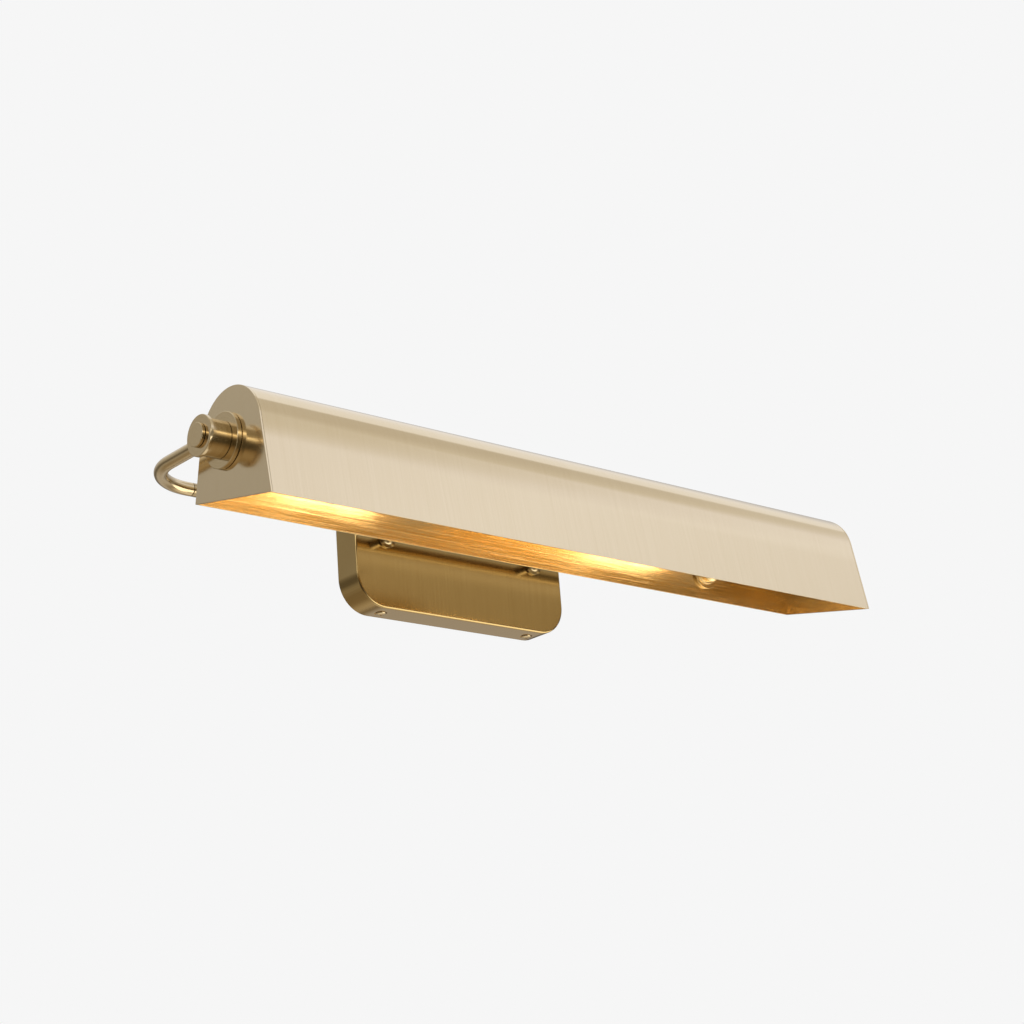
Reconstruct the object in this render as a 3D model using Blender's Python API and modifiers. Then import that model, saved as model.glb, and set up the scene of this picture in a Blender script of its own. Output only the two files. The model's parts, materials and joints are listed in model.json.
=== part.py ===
"""Two-lamp picture light: a long arched brass shade, tilting between the two arms of a wall-fixed frame.

Metres, +Z up, +X along the shade. The wall is the plane Y = 0 and the light stands out from it towards -Y.
Every piece of the shade is modelled in the shade's own frame (mouth level, tilt axis through the origin)
and hangs on an empty that stands on the tilt axis, turned to the stored tilt.
"""

import math

import bmesh
import bpy
from mathutils import Vector

# Clearances
GAP = 0.0003                    # between pieces that rest on each other
RUNNING = 0.0005                # radial, round a screw, stud or tube in its hole
THROUGH = 6                     # a hole cutter's length, in thicknesses of the sheet it goes through

# Tilt axis and tube frame
PIVOT_REACH = 0.1385            # wall to tilt axis
TILT_AT_REST = math.radians(11.75)
BAR_STANDOFF = 0.0457           # wall to the rear bar's centre line
TUBE_RADIUS = 0.0050
TUBE_WALL = 0.0010
BEND_RADIUS = 0.0400
BEND_TAIL = 0.0030              # straight length after the bend, up to the joint with the bar
NIPPLE_LENGTH = 0.0120
NIPPLE_WALL = 0.0009

# Shade
SHADE_LENGTH = 0.6000
SHEET = 0.0010
CAP_THICKNESS = 0.0015
ARCH_RADIUS = 0.0362
ARCH_Y = -0.0044
ARCH_Z = 0.0022
FRONT_REACH = 0.0597            # tilt axis to the front lip
MOUTH_DEPTH = 0.0407            # tilt axis to the mouth
ARCH_STEPS = 16

# Pivots at the ends
ROSETTE_RADIUS = 0.0200
ROSETTE_THICKNESS = 0.0034
ROSETTE_CHAMFER = 0.0006
HUB_RADIUS = 0.0132
HUB_LENGTH = 0.0142
HUB_SOCKET_WALL = 0.0007        # left between the clamp screw's hole and the arm's end
WASHER_INSET = 0.0020           # the hub's edge to the washer's edge
WASHER_THICKNESS = 0.0006
SCREW_RADIUS = 0.0048
SCREW_BORE = 0.0026
KNOB_RADIUS = 0.0147
KNOB_THICKNESS = 0.0030
KNOB_CHAMFER = 0.0005
KNOB_SEAT_DEPTH = 0.0018
BUTTON_RADIUS = 0.0085
BUTTON_THICKNESS = 0.0024
PIVOT_NUT_ACROSS = 0.0190
PIVOT_NUT_THICKNESS = 0.0060
SCREW_PAST_NUT = 0.0020

# Backplate and what is behind it
PLATE_WIDTH = 0.2120
PLATE_HEIGHT = 0.1150
PLATE_DEPTH = 0.0245
PLATE_WALL = 0.0015
PLATE_CORNER = 0.0260
PLATE_CORNER_STEPS = 6
PLATE_FILLET = 0.0018
CHANNEL_PAST_CORNER = 0.0010    # how far each end runs past the start of the plate's corner
CHANNEL_FLANGE = 0.0180
CHANNEL_SHEET = 0.0015
SLOT_SPACING = 0.0850
SLOT_LENGTH = 0.0140
SLOT_RADIUS = 0.0024
CABLE_HOLE_RADIUS = 0.0100
CABLE_HOLE_RISE = 0.0300
SIDE_SCREW_INSET = 0.0060       # the channel's end to the screws
SIDE_SCREW_STANDOFF = 0.0110    # wall to the side screws' axes
SIDE_SCREW_RADIUS = 0.0019
SIDE_SCREW_LENGTH = 0.0080
SIDE_HEAD_RADIUS = 0.0041
SIDE_HEAD_HEIGHT = 0.0014
SIDE_HEAD_EDGE = 0.0004         # the straight part of the head's height
POST_INSET = 0.0300             # the plate's edge to the posts
POST_RADIUS = 0.0045
POST_FOOT_RADIUS = 0.0085
POST_FOOT_THICKNESS = 0.0025
POST_FOOT_EDGE = 0.0015
POST_STUD_RADIUS = 0.0030
POST_STUD_LENGTH = 0.0110
POST_BORE = 0.0014
POST_NUT_ACROSS = 0.0110
POST_NUT_THICKNESS = 0.0045
TERMINAL_SIZE = (0.0300, 0.0120, 0.0150)
TERMINAL_DROP = 0.0320          # below the middle of the plate
TERMINAL_PITCH = 0.0095
TERMINAL_HOLE = 0.0018
EARTH_SCREW_AT = (-0.0450, 0.0300)
EARTH_HEAD_HEIGHT = 0.0022
EARTH_HEAD_EDGE = 0.0018

# Lamps and lampholders
LAMP_Y = -0.0040                # the lamps' axis, from the tilt axis
LAMP_Z = -0.0040
HOLDER_INSET = 0.1080           # the shade's right end to the right lampholder's mouth
HOLDER_RADIUS = 0.0140
HOLDER_LENGTH = 0.0500
HOLDER_WALL = 0.0055
HOLDER_FLOOR = 0.0120
HOLDER_BACK_CHAMFER = 0.0028
HOLDER_BACK_CHAMFER_LENGTH = 0.0060
HOLDER_RIM_RADIUS = 0.0158
HOLDER_RIM_WIDTH = 0.0040
HOLDER_NIPPLE_RADIUS = 0.0048
HOLDER_NIPPLE_LENGTH = 0.0100
HOLDER_NIPPLE_BORE = 0.0022
HOLDER_NUT_ACROSS = 0.0140
HOLDER_NUT_THICKNESS = 0.0030
LAMP_RADIUS = 0.0125
LAMP_LENGTH = 0.1120            # of the glass
LAMP_WALL = 0.0008
LAMP_NECK_RADIUS = 0.0068
LAMP_SHOULDER = 0.0120
LAMP_CAP_RADIUS = 0.0070
LAMP_CAP_LENGTH = 0.0230
LAMP_CAP_TAPER = 0.0046
LAMP_CONTACT_RADIUS = 0.0032
BRACKET_SHEET = 0.0015
BRACKET_FOOT = 0.0240
BRACKET_HEIGHT = 0.0180
BRACKET_REACH = 0.0120          # past the lamp's axis
RIVET_SPACING = 0.0120
RIVET_RADIUS = 0.0015
RIVET_HEAD_RADIUS = 0.0030
RIVET_HEAD_HEIGHT = 0.0012
RIVET_SET_RADIUS = 0.0024
RIVET_SET_HEIGHT = 0.0006
LEAD_RADIUS = 0.0015
LEAD_INSET = 0.0082             # the arch's outer face to the clipped run of the lead
LEAD_ANGLE = math.radians(48)
LEAD_ENTRY = 0.0050             # how far each lead goes into its clamp screw
LEAD_STRAIGHT = 0.0080          # straight out of the left lampholder's nipple
LEAD_TURN = 0.0160              # taken by each turn of the lead, along the shade
LEAD_FALL = 0.0400              # the left clamp screw's end to the end of the clipped run
CLIP_SIZE = 0.0080
CLIP_PLACES = (0.30, 0.72)      # shares of the clipped run

# Rotary switch in the back wall
SWITCH_INSET = 0.1025           # from the shade's right end
SWITCH_Z = -0.0165
SWITCH_FLANGE_RADIUS = 0.0150
SWITCH_FLANGE_THICKNESS = 0.0020
SWITCH_BODY_RADIUS = 0.0095
SWITCH_BODY_DEPTH = 0.0065
SWITCH_BASE_RADIUS = 0.0067
SWITCH_BASE_HEIGHT = 0.0020
SWITCH_STEM_RADIUS = 0.0045
SWITCH_STEM_LENGTH = 0.0060
SWITCH_NUT_ACROSS = 0.0130
SWITCH_NUT_THICKNESS = 0.0020
SWITCH_KNOB_RADIUS = 0.0080
SWITCH_KNOB_LENGTH = 0.0110

# Worked out from the sizes above
PIVOT_Y = -PIVOT_REACH
BAR_Y = -BAR_STANDOFF
BACK_Y = ARCH_Y + ARCH_RADIUS           # the shade's upright back wall, outer face
SHADE_END = SHADE_LENGTH / 2
RIGHT_HOLDER_MOUTH = SHADE_END - HOLDER_INSET
LAMP_SPACING = SHADE_LENGTH / 2         # each lamp lights its own half of the shade
SWITCH_X = SHADE_END - SWITCH_INSET
LEAD_RADIAL = ARCH_RADIUS - LEAD_INSET  # from the arch's centre
CHANNEL_LENGTH = PLATE_WIDTH - 2 * (PLATE_CORNER - CHANNEL_PAST_CORNER)
SIDE_SCREW_SPACING = CHANNEL_LENGTH - 2 * SIDE_SCREW_INSET
POST_SPACING = PLATE_WIDTH - 2 * POST_INSET
WASHER_RADIUS = HUB_RADIUS - WASHER_INSET
ROSETTE_FACE = SHADE_END + GAP + ROSETTE_THICKNESS
HUB_INNER = ROSETTE_FACE + GAP
HUB_OUTER = HUB_INNER + HUB_LENGTH
HUB_MIDDLE = (HUB_INNER + HUB_OUTER) / 2
KNOB_INNER = HUB_OUTER + GAP
NUT_INNER = SHADE_END - CAP_THICKNESS - GAP - PIVOT_NUT_THICKNESS
SCREW_INNER = NUT_INNER - SCREW_PAST_NUT
SCREW_OUTER = KNOB_INNER + KNOB_SEAT_DEPTH - GAP
BAR_END = HUB_MIDDLE - BEND_RADIUS - BEND_TAIL
HOLE_RADIUS = SCREW_RADIUS + RUNNING
HUB_SOCKET_FLOOR = HOLE_RADIUS + HUB_SOCKET_WALL        # how near the tilt axis the arm's end comes

# Finishes: colour, roughness, metallic
BRASS = ((0.62, 0.50, 0.31), 0.32, 1.0)
STEEL = ((0.60, 0.60, 0.58), 0.40, 1.0)
CERAMIC = ((0.86, 0.84, 0.80), 0.30, 0.0)
GLASS = ((1.00, 0.93, 0.80), 0.25, 0.0)
FIBRE = ((0.10, 0.09, 0.08), 0.70, 0.0)
LEAD = ((0.80, 0.78, 0.72), 0.50, 0.0)

# Turns that lay a turned piece's +Z axis along another axis
ALONG_PLUS_X = (0, math.pi / 2, 0)
ALONG_PLUS_Y = (-math.pi / 2, 0, 0)
ALONG_MINUS_Y = (math.pi / 2, 0, 0)
# Turns that stand a flat outline, drawn as (x, y), in another plane
OUTLINE_AS_YZ = (math.pi / 2, 0, math.pi / 2)
OUTLINE_AS_XZ = (math.pi / 2, 0, 0)
# Turn that lays a folded strip, drawn as (y, z) and run along X, as (x, y) run along Z
FOLD_AS_XY = (-math.pi / 2, -math.pi / 2, 0)


def new_collection(name):
    collection = bpy.data.collections.new(name)
    bpy.context.scene.collection.children.link(collection)
    return collection


for leftover in list(bpy.data.objects):
    bpy.data.objects.remove(leftover)
PARTS = new_collection("picture_light")
CUTTERS = new_collection("cutters")


# Helpers ------------------------------------------------------------------------------------------


def along_x(side):
    """The turn that lays +Z along the outward X of one side (-1 left, +1 right)."""
    return (0, side * math.pi / 2, 0)


def give_look(data, name, look):
    colour, roughness, metallic = look
    material = bpy.data.materials.new(name)
    material.use_nodes = True
    shader = material.node_tree.nodes["Principled BSDF"]
    shader.inputs["Base Color"].default_value = (*colour, 1)
    shader.inputs["Roughness"].default_value = roughness
    shader.inputs["Metallic"].default_value = metallic
    data.materials.append(material)


def add_part(name, data, look, location=(0, 0, 0), rotation=(0, 0, 0), parent=None):
    part = bpy.data.objects.new(name, data)
    PARTS.objects.link(part)
    part.location = location
    part.rotation_euler = rotation
    part.parent = parent
    give_look(data, name, look)
    return part


def add_cutter(name, mesh, location, rotation=(0, 0, 0), parent=None):
    cutter = bpy.data.objects.new(name, mesh)
    CUTTERS.objects.link(cutter)
    cutter.location = location
    cutter.rotation_euler = rotation
    cutter.parent = parent
    cutter.hide_render = True
    cutter.display_type = "WIRE"
    return cutter


def cylinder_cutter(name, radius, length, location, rotation=(0, 0, 0), parent=None, sides=16):
    mesh = bpy.data.meshes.new(name)
    shape = bmesh.new()
    bmesh.ops.create_cone(shape, cap_ends=True, segments=sides, radius1=radius, radius2=radius, depth=length)
    shape.to_mesh(mesh)
    shape.free()
    return add_cutter(name, mesh, location, rotation, parent)


def cut(part, cutters):
    for cutter in cutters:
        boolean = part.modifiers.new(cutter.name, "BOOLEAN")
        boolean.operation = "DIFFERENCE"
        boolean.object = cutter


def turned(name, profile, look, sides=24, **place):
    """Turns (radius, height) points round Z, down the outer side and back up the bore if there is one."""
    has_bore = profile[0][0] > 0
    points = [(radius, 0, height) for radius, height in profile]
    edges = [(i, i + 1) for i in range(len(points) - 1)]
    if has_bore:
        edges.append((len(points) - 1, 0))
    mesh = bpy.data.meshes.new(name)
    mesh.from_pydata(points, edges, [])
    part = add_part(name, mesh, look, **place)
    screw = part.modifiers.new("turn", "SCREW")
    screw.steps = sides
    screw.render_steps = sides
    screw.use_merge_vertices = True
    screw.merge_threshold = 0.00001
    screw.use_smooth_shade = True
    return part


def ring(outer, inner, bottom, top):
    """The section of a washer or sleeve."""
    return [(outer, top), (outer, bottom), (inner, bottom), (inner, top)]


def dome(radius, height, edge):
    """The section of a shallow domed head, from its crown down to the top of its straight edge."""
    rise = height - edge
    return [(radius * math.sin(t), edge + rise * math.cos(t)) for t in (0, math.pi / 4, math.pi / 2)]


def circle(radius, sides=16):
    turns = [math.tau * i / sides for i in range(sides)]
    return [(radius * math.cos(t), radius * math.sin(t)) for t in turns]


def flat(name, loops, thickness, look, **place):
    """A plate with the first loop as its outline and the others as holes, centred on its local XY plane."""
    curve = bpy.data.curves.new(name, "CURVE")
    curve.dimensions = "2D"
    curve.fill_mode = "BOTH"
    curve.extrude = thickness / 2
    for loop in loops:
        spline = curve.splines.new("POLY")
        spline.points.add(len(loop) - 1)
        for point, (x, y) in zip(spline.points, loop):
            point.co = (x, y, 0, 1)
        spline.use_cyclic_u = True
    return add_part(name, curve, look, **place)


def hex_nut(name, across, hole, thickness, **place):
    outline = circle(across / math.sqrt(3), 6)
    return flat(name, [outline, circle(hole)], thickness, STEEL, **place)


def folded(name, section, length, thickness, look, **place):
    """A strip of sheet: an open (y, z) section run along X, with the thickness on the section's right."""
    shape = bmesh.new()
    points = [shape.verts.new((-length / 2, y, z)) for y, z in section]
    edges = [shape.edges.new(pair) for pair in zip(points, points[1:])]
    run = bmesh.ops.extrude_edge_only(shape, edges=edges)
    moved = [item for item in run["geom"] if isinstance(item, bmesh.types.BMVert)]
    bmesh.ops.translate(shape, verts=moved, vec=(length, 0, 0))
    mesh = bpy.data.meshes.new(name)
    shape.to_mesh(mesh)
    shape.free()
    part = add_part(name, mesh, look, **place)
    wall = part.modifiers.new("sheet", "SOLIDIFY")
    wall.thickness = thickness
    wall.offset = -1
    wall.use_even_offset = True
    return part


def curve_through(name, points, radius, resolution, capped):
    curve = bpy.data.curves.new(name, "CURVE")
    curve.dimensions = "3D"
    curve.bevel_depth = radius
    curve.bevel_resolution = resolution
    curve.use_fill_caps = capped
    spline = curve.splines.new("POLY")
    spline.points.add(len(points) - 1)
    for point, place in zip(spline.points, points):
        point.co = (*place, 1)
    return curve


def pipe(name, points, radius, wall, look, resolution=4):
    """A hollow tube along the points, made as an open surface that is given a wall."""
    guide = bpy.data.objects.new(name + "_guide", curve_through(name, points, radius, resolution, False))
    CUTTERS.objects.link(guide)
    graph = bpy.context.evaluated_depsgraph_get()
    mesh = bpy.data.meshes.new_from_object(guide.evaluated_get(graph))
    bpy.data.objects.remove(guide)
    part = add_part(name, mesh, look)
    mesh.shade_smooth()
    skin = part.modifiers.new("wall", "SOLIDIFY")
    skin.thickness = wall
    skin.offset = -1
    return part


def smooth_route(places, steps):
    """Points on a Catmull-Rom curve through the given places."""
    ends = [places[0] * 2 - places[1], *places, places[-1] * 2 - places[-2]]
    route = []
    for a, b, c, d in zip(ends, ends[1:], ends[2:], ends[3:]):
        for i in range(steps):
            t = i / steps
            bend = (a * 2 - b * 5 + c * 4 - d) * t * t + (b * 3 - a - c * 3 + d) * t * t * t
            route.append((b * 2 + (c - a) * t + bend) / 2)
    return [*route, places[-1]]


# Wall side ----------------------------------------------------------------------------------------


def rounded_rectangle(width, height, radius, steps):
    points = []
    for quarter in range(4):
        across = (width / 2 - radius) * (1 if quarter in (0, 3) else -1)
        up = (height / 2 - radius) * (1 if quarter in (0, 1) else -1)
        for i in range(steps + 1):
            turn = (quarter + i / steps) * math.pi / 2
            points.append((across + radius * math.cos(turn), up + radius * math.sin(turn)))
    return points


def side_screw_places():
    """(name, x, up) of the four screws through the backplate's bottom and top walls."""
    for level, up in (("bottom", -1), ("top", 1)):
        for side_name, side in (("left", -1), ("right", 1)):
            yield f"{level}_{side_name}", side * SIDE_SCREW_SPACING / 2, up


def make_backplate():
    """An open-backed tray: a rounded front face, drawn back to the wall, filleted and given its wall."""
    shape = bmesh.new()
    outline = rounded_rectangle(PLATE_WIDTH, PLATE_HEIGHT, PLATE_CORNER, PLATE_CORNER_STEPS)
    rim = [shape.verts.new((x, -PLATE_DEPTH, z)) for x, z in outline]
    front = bmesh.ops.contextual_create(shape, geom=rim)["faces"]
    front_edges = list(front[0].edges)
    drawn = bmesh.ops.extrude_edge_only(shape, edges=front_edges)
    back = [item for item in drawn["geom"] if isinstance(item, bmesh.types.BMVert)]
    bmesh.ops.translate(shape, verts=back, vec=(0, PLATE_DEPTH, 0))
    bmesh.ops.bevel(
        shape, geom=front_edges, offset=PLATE_FILLET, segments=2, profile=0.5, affect="EDGES"
    )
    bmesh.ops.recalc_face_normals(shape, faces=shape.faces)
    mesh = bpy.data.meshes.new("backplate")
    shape.to_mesh(mesh)
    shape.free()
    plate = add_part("backplate", mesh, BRASS)
    wall = plate.modifiers.new("wall", "SOLIDIFY")
    wall.thickness = PLATE_WALL
    wall.offset = -1
    wall.use_even_offset = True
    holes = [
        cylinder_cutter(f"plate_hole_{name}", SIDE_SCREW_RADIUS + RUNNING, PLATE_WALL * THROUGH,
                        (x, -SIDE_SCREW_STANDOFF, up * (PLATE_HEIGHT - PLATE_WALL) / 2))
        for name, x, up in side_screw_places()
    ]
    holes += [
        cylinder_cutter(f"post_hole_{side}", POST_STUD_RADIUS + RUNNING, PLATE_WALL * THROUGH,
                        (side * POST_SPACING / 2, -PLATE_DEPTH, 0), ALONG_PLUS_Y)
        for side in (-1, 1)
    ]
    cut(plate, holes)


def make_mounting_channel():
    """The steel channel that is screwed to the wall and takes the side screws in its flanges."""
    half = PLATE_HEIGHT / 2 - PLATE_WALL - GAP
    section = [(-CHANNEL_FLANGE, half), (0, half), (0, -half), (-CHANNEL_FLANGE, -half)]
    channel = folded("mounting_channel", section, CHANNEL_LENGTH, CHANNEL_SHEET, STEEL)
    holes = [
        cylinder_cutter(f"flange_hole_{name}", SIDE_SCREW_RADIUS + RUNNING, CHANNEL_SHEET * THROUGH,
                        (x, -SIDE_SCREW_STANDOFF, up * half))
        for name, x, up in side_screw_places()
    ]
    holes.append(cylinder_cutter("cable_hole", CABLE_HOLE_RADIUS, CHANNEL_SHEET * THROUGH,
                                 (0, 0, CABLE_HOLE_RISE), ALONG_PLUS_Y))
    holes.append(cylinder_cutter("earth_hole", SIDE_SCREW_RADIUS + RUNNING, CHANNEL_SHEET * THROUGH,
                                 (EARTH_SCREW_AT[0], 0, EARTH_SCREW_AT[1]), ALONG_PLUS_Y))
    cut(channel, [*holes, *(slot_cutter(side) for side in (-1, 1))])


def slot_cutter(side):
    """A level fixing slot's shape: a box with a round end at each side, from one outline."""
    shape = bmesh.new()
    outline = rounded_rectangle(SLOT_LENGTH, SLOT_RADIUS * 2 + GAP, SLOT_RADIUS, 3)
    rim = [shape.verts.new((x + side * SLOT_SPACING / 2, CHANNEL_SHEET * THROUGH / 2, z))
           for x, z in outline]
    face = bmesh.ops.contextual_create(shape, geom=rim)["faces"]
    drawn = bmesh.ops.extrude_face_region(shape, geom=face)
    moved = [item for item in drawn["geom"] if isinstance(item, bmesh.types.BMVert)]
    bmesh.ops.translate(shape, verts=moved, vec=(0, -CHANNEL_SHEET * THROUGH, 0))
    bmesh.ops.recalc_face_normals(shape, faces=shape.faces)
    mesh = bpy.data.meshes.new(f"slot_{side}")
    shape.to_mesh(mesh)
    shape.free()
    return add_cutter(f"slot_{side}", mesh, (0, 0, 0))


def make_side_screws():
    shank = SIDE_SCREW_LENGTH + PLATE_WALL
    profile = [
        *dome(SIDE_HEAD_RADIUS, SIDE_HEAD_HEIGHT, SIDE_HEAD_EDGE),
        (SIDE_HEAD_RADIUS, 0),
        (SIDE_SCREW_RADIUS, 0),
        (SIDE_SCREW_RADIUS, -shank),
        (0, -shank),
    ]
    for name, x, up in side_screw_places():
        turned(f"{name}_side_screw", profile, BRASS, sides=12,
               location=(x, -SIDE_SCREW_STANDOFF, up * (PLATE_HEIGHT / 2 + GAP)),
               rotation=(0 if up > 0 else math.pi, 0, 0))


def make_terminal_block():
    width, depth, height = TERMINAL_SIZE
    middle = (0, -CHANNEL_SHEET - GAP - depth / 2, -TERMINAL_DROP)
    shape = bmesh.new()
    bmesh.ops.create_cube(shape, size=1)
    bmesh.ops.scale(shape, verts=shape.verts, vec=TERMINAL_SIZE)
    mesh = bpy.data.meshes.new("terminal_block")
    shape.to_mesh(mesh)
    shape.free()
    block = add_part("terminal_block", mesh, CERAMIC, location=middle)
    cut(block, [
        cylinder_cutter(f"wire_way_{i}", TERMINAL_HOLE, height * 2,
                        (i * TERMINAL_PITCH, middle[1], middle[2]), sides=12)
        for i in (-1, 0, 1)
    ])


def make_earth_screw():
    """Screwed into the channel's web from the room side."""
    x, z = EARTH_SCREW_AT
    face = -CHANNEL_SHEET - GAP
    profile = [
        *dome(SIDE_HEAD_RADIUS, EARTH_HEAD_HEIGHT, EARTH_HEAD_EDGE),
        (SIDE_HEAD_RADIUS, 0),
        (SIDE_SCREW_RADIUS, 0),
        (SIDE_SCREW_RADIUS, face),
        (0, face),
    ]
    turned("earth_screw", profile, BRASS, sides=12, location=(x, face, z), rotation=ALONG_MINUS_Y)


def make_post(side_name, side):
    """A turned stem on the backplate, held by a nut inside it, with a saddle for the rear bar."""
    x = side * POST_SPACING / 2
    foot = -PLATE_DEPTH - GAP
    length = foot - BAR_Y
    profile = [
        (POST_RADIUS, length),
        (POST_RADIUS, POST_FOOT_THICKNESS),
        (POST_FOOT_RADIUS, POST_FOOT_EDGE),
        (POST_FOOT_RADIUS, 0),
        (POST_STUD_RADIUS, 0),
        (POST_STUD_RADIUS, -POST_STUD_LENGTH),
        (POST_BORE, -POST_STUD_LENGTH),
        (POST_BORE, length),
    ]
    post = turned(f"{side_name}_post", profile, BRASS, sides=16, location=(x, foot, 0),
                  rotation=ALONG_MINUS_Y)
    cut(post, [cylinder_cutter(f"saddle_{side_name}", TUBE_RADIUS + RUNNING, POST_RADIUS * 4, (x, BAR_Y, 0),
                               ALONG_PLUS_X)])
    behind = -PLATE_DEPTH + PLATE_WALL + GAP + POST_NUT_THICKNESS / 2
    hex_nut(f"{side_name}_post_nut", POST_NUT_ACROSS, POST_STUD_RADIUS + RUNNING, POST_NUT_THICKNESS,
            location=(x, behind, 0), rotation=OUTLINE_AS_XZ)


def make_rear_bar():
    pipe("rear_bar", [(-BAR_END, BAR_Y, 0), (BAR_END, BAR_Y, 0)], TUBE_RADIUS, TUBE_WALL, BRASS)


def make_arm(side_name, side):
    """Runs from its hub straight back, bends through a quarter circle and meets the rear bar."""
    steps = 8
    bend_x = HUB_MIDDLE - BEND_RADIUS
    bend_y = BAR_Y - BEND_RADIUS
    route = [(side * HUB_MIDDLE, PIVOT_Y + HUB_SOCKET_FLOOR, 0)]
    for i in range(steps + 1):
        turn = math.pi / 2 * i / steps
        x = bend_x + BEND_RADIUS * math.cos(turn)
        route.append((side * x, bend_y + BEND_RADIUS * math.sin(turn), 0))
    route.append((side * (BAR_END + GAP), BAR_Y, 0))
    pipe(f"{side_name}_arm", route, TUBE_RADIUS, TUBE_WALL, BRASS)


def make_bar_nipple(side_name, side):
    """The short sleeve inside the joint between an arm and the rear bar."""
    outer = TUBE_RADIUS - TUBE_WALL - RUNNING
    half = NIPPLE_LENGTH / 2
    turned(f"{side_name}_bar_nipple", ring(outer, outer - NIPPLE_WALL, -half, half), STEEL, sides=16,
           location=(side * BAR_END, BAR_Y, 0), rotation=along_x(side))


def make_hub(side_name, side):
    """The barrel on the arm's end, bored for the clamp screw and recessed for the friction washer."""
    recess = WASHER_THICKNESS + GAP
    profile = [
        (HUB_RADIUS, HUB_LENGTH),
        (HUB_RADIUS, 0),
        (WASHER_RADIUS + RUNNING, 0),
        (WASHER_RADIUS + RUNNING, recess),
        (HOLE_RADIUS, recess),
        (HOLE_RADIUS, HUB_LENGTH),
    ]
    hub = turned(f"{side_name}_hub", profile, BRASS, location=(side * HUB_INNER, PIVOT_Y, 0),
                 rotation=along_x(side))
    depth = HUB_RADIUS
    socket_floor = HUB_SOCKET_FLOOR - GAP
    cut(hub, [cylinder_cutter(f"arm_socket_{side_name}", TUBE_RADIUS + RUNNING, depth,
                              (side * HUB_MIDDLE, PIVOT_Y + socket_floor + depth / 2, 0), ALONG_PLUS_Y)])
    turned(f"{side_name}_friction_washer", ring(WASHER_RADIUS, HOLE_RADIUS, 0, WASHER_THICKNESS), FIBRE,
           location=(side * HUB_INNER, PIVOT_Y, 0), rotation=along_x(side))


# Clamp knobs --------------------------------------------------------------------------------------


def make_clamp_knob(side_name, side):
    """The end disc, its button and the hollow screw that draws the hub against the rosette."""
    place = {"location": (side * KNOB_INNER, PIVOT_Y, 0), "rotation": along_x(side)}
    seat = SCREW_RADIUS + RUNNING
    disc = [
        (0, KNOB_THICKNESS),
        (KNOB_RADIUS - KNOB_CHAMFER, KNOB_THICKNESS),
        (KNOB_RADIUS, KNOB_THICKNESS - KNOB_CHAMFER),
        (KNOB_RADIUS, 0),
        (seat, 0),
        (seat, KNOB_SEAT_DEPTH),
        (0, KNOB_SEAT_DEPTH),
    ]
    turned(f"{side_name}_clamp_knob", disc, BRASS, **place)
    base = KNOB_THICKNESS + GAP
    button = [
        (0, base + BUTTON_THICKNESS),
        (BUTTON_RADIUS - KNOB_CHAMFER, base + BUTTON_THICKNESS),
        (BUTTON_RADIUS, base + BUTTON_THICKNESS - KNOB_CHAMFER),
        (BUTTON_RADIUS, base),
        (0, base),
    ]
    turned(f"{side_name}_knob_button", button, BRASS, sides=24, **place)
    tube = ring(SCREW_RADIUS, SCREW_BORE, SCREW_INNER - KNOB_INNER, SCREW_OUTER - KNOB_INNER)
    turned(f"{side_name}_clamp_screw", tube, STEEL, sides=16, **place)


# Shade --------------------------------------------------------------------------------------------


def shade_section():
    """(y, z) points from the front lip up the flat front, over the arch and down the upright back."""
    lip = Vector((-FRONT_REACH, -MOUTH_DEPTH))
    from_centre = lip - Vector((ARCH_Y, ARCH_Z))
    lip_turn = math.atan2(from_centre.y, from_centre.x) + math.tau
    start = lip_turn - math.acos(ARCH_RADIUS / from_centre.length)
    section = [tuple(lip)]
    for i in range(ARCH_STEPS + 1):
        turn = start * (1 - i / ARCH_STEPS)
        section.append((ARCH_Y + ARCH_RADIUS * math.cos(turn), ARCH_Z + ARCH_RADIUS * math.sin(turn)))
    return [*section, (BACK_Y, -MOUTH_DEPTH)]


def holder_mouth(side):
    """Both lamps point to the left, so the left lampholder is a copy of the right one, one spacing away."""
    return RIGHT_HOLDER_MOUTH - (LAMP_SPACING if side < 0 else 0)


def bracket_plane(side):
    """The x of the bracket's face that the lampholder rests on."""
    return holder_mouth(side) + HOLDER_LENGTH + GAP


def rivet_places(side):
    x = bracket_plane(side) + BRACKET_SHEET + BRACKET_FOOT / 2
    return [(x + end * RIVET_SPACING / 2, LAMP_Z) for end in (-1, 1)]


def make_shade_sheet(pivot):
    length = SHADE_LENGTH - 2 * (CAP_THICKNESS + GAP)
    sheet = folded("shade_sheet", shade_section(), length, SHEET, BRASS, parent=pivot)
    holes = [
        cylinder_cutter(f"sheet_rivet_hole_{side}_{i}", RIVET_RADIUS + RUNNING, SHEET * THROUGH,
                        (x, BACK_Y, z), ALONG_PLUS_Y, pivot, sides=12)
        for side in (-1, 1)
        for i, (x, z) in enumerate(rivet_places(side))
    ]
    holes.append(cylinder_cutter("sheet_switch_hole", SWITCH_STEM_RADIUS + RUNNING, SHEET * THROUGH,
                                 (SWITCH_X, BACK_Y, SWITCH_Z), ALONG_PLUS_Y, pivot))
    cut(sheet, holes)


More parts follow.
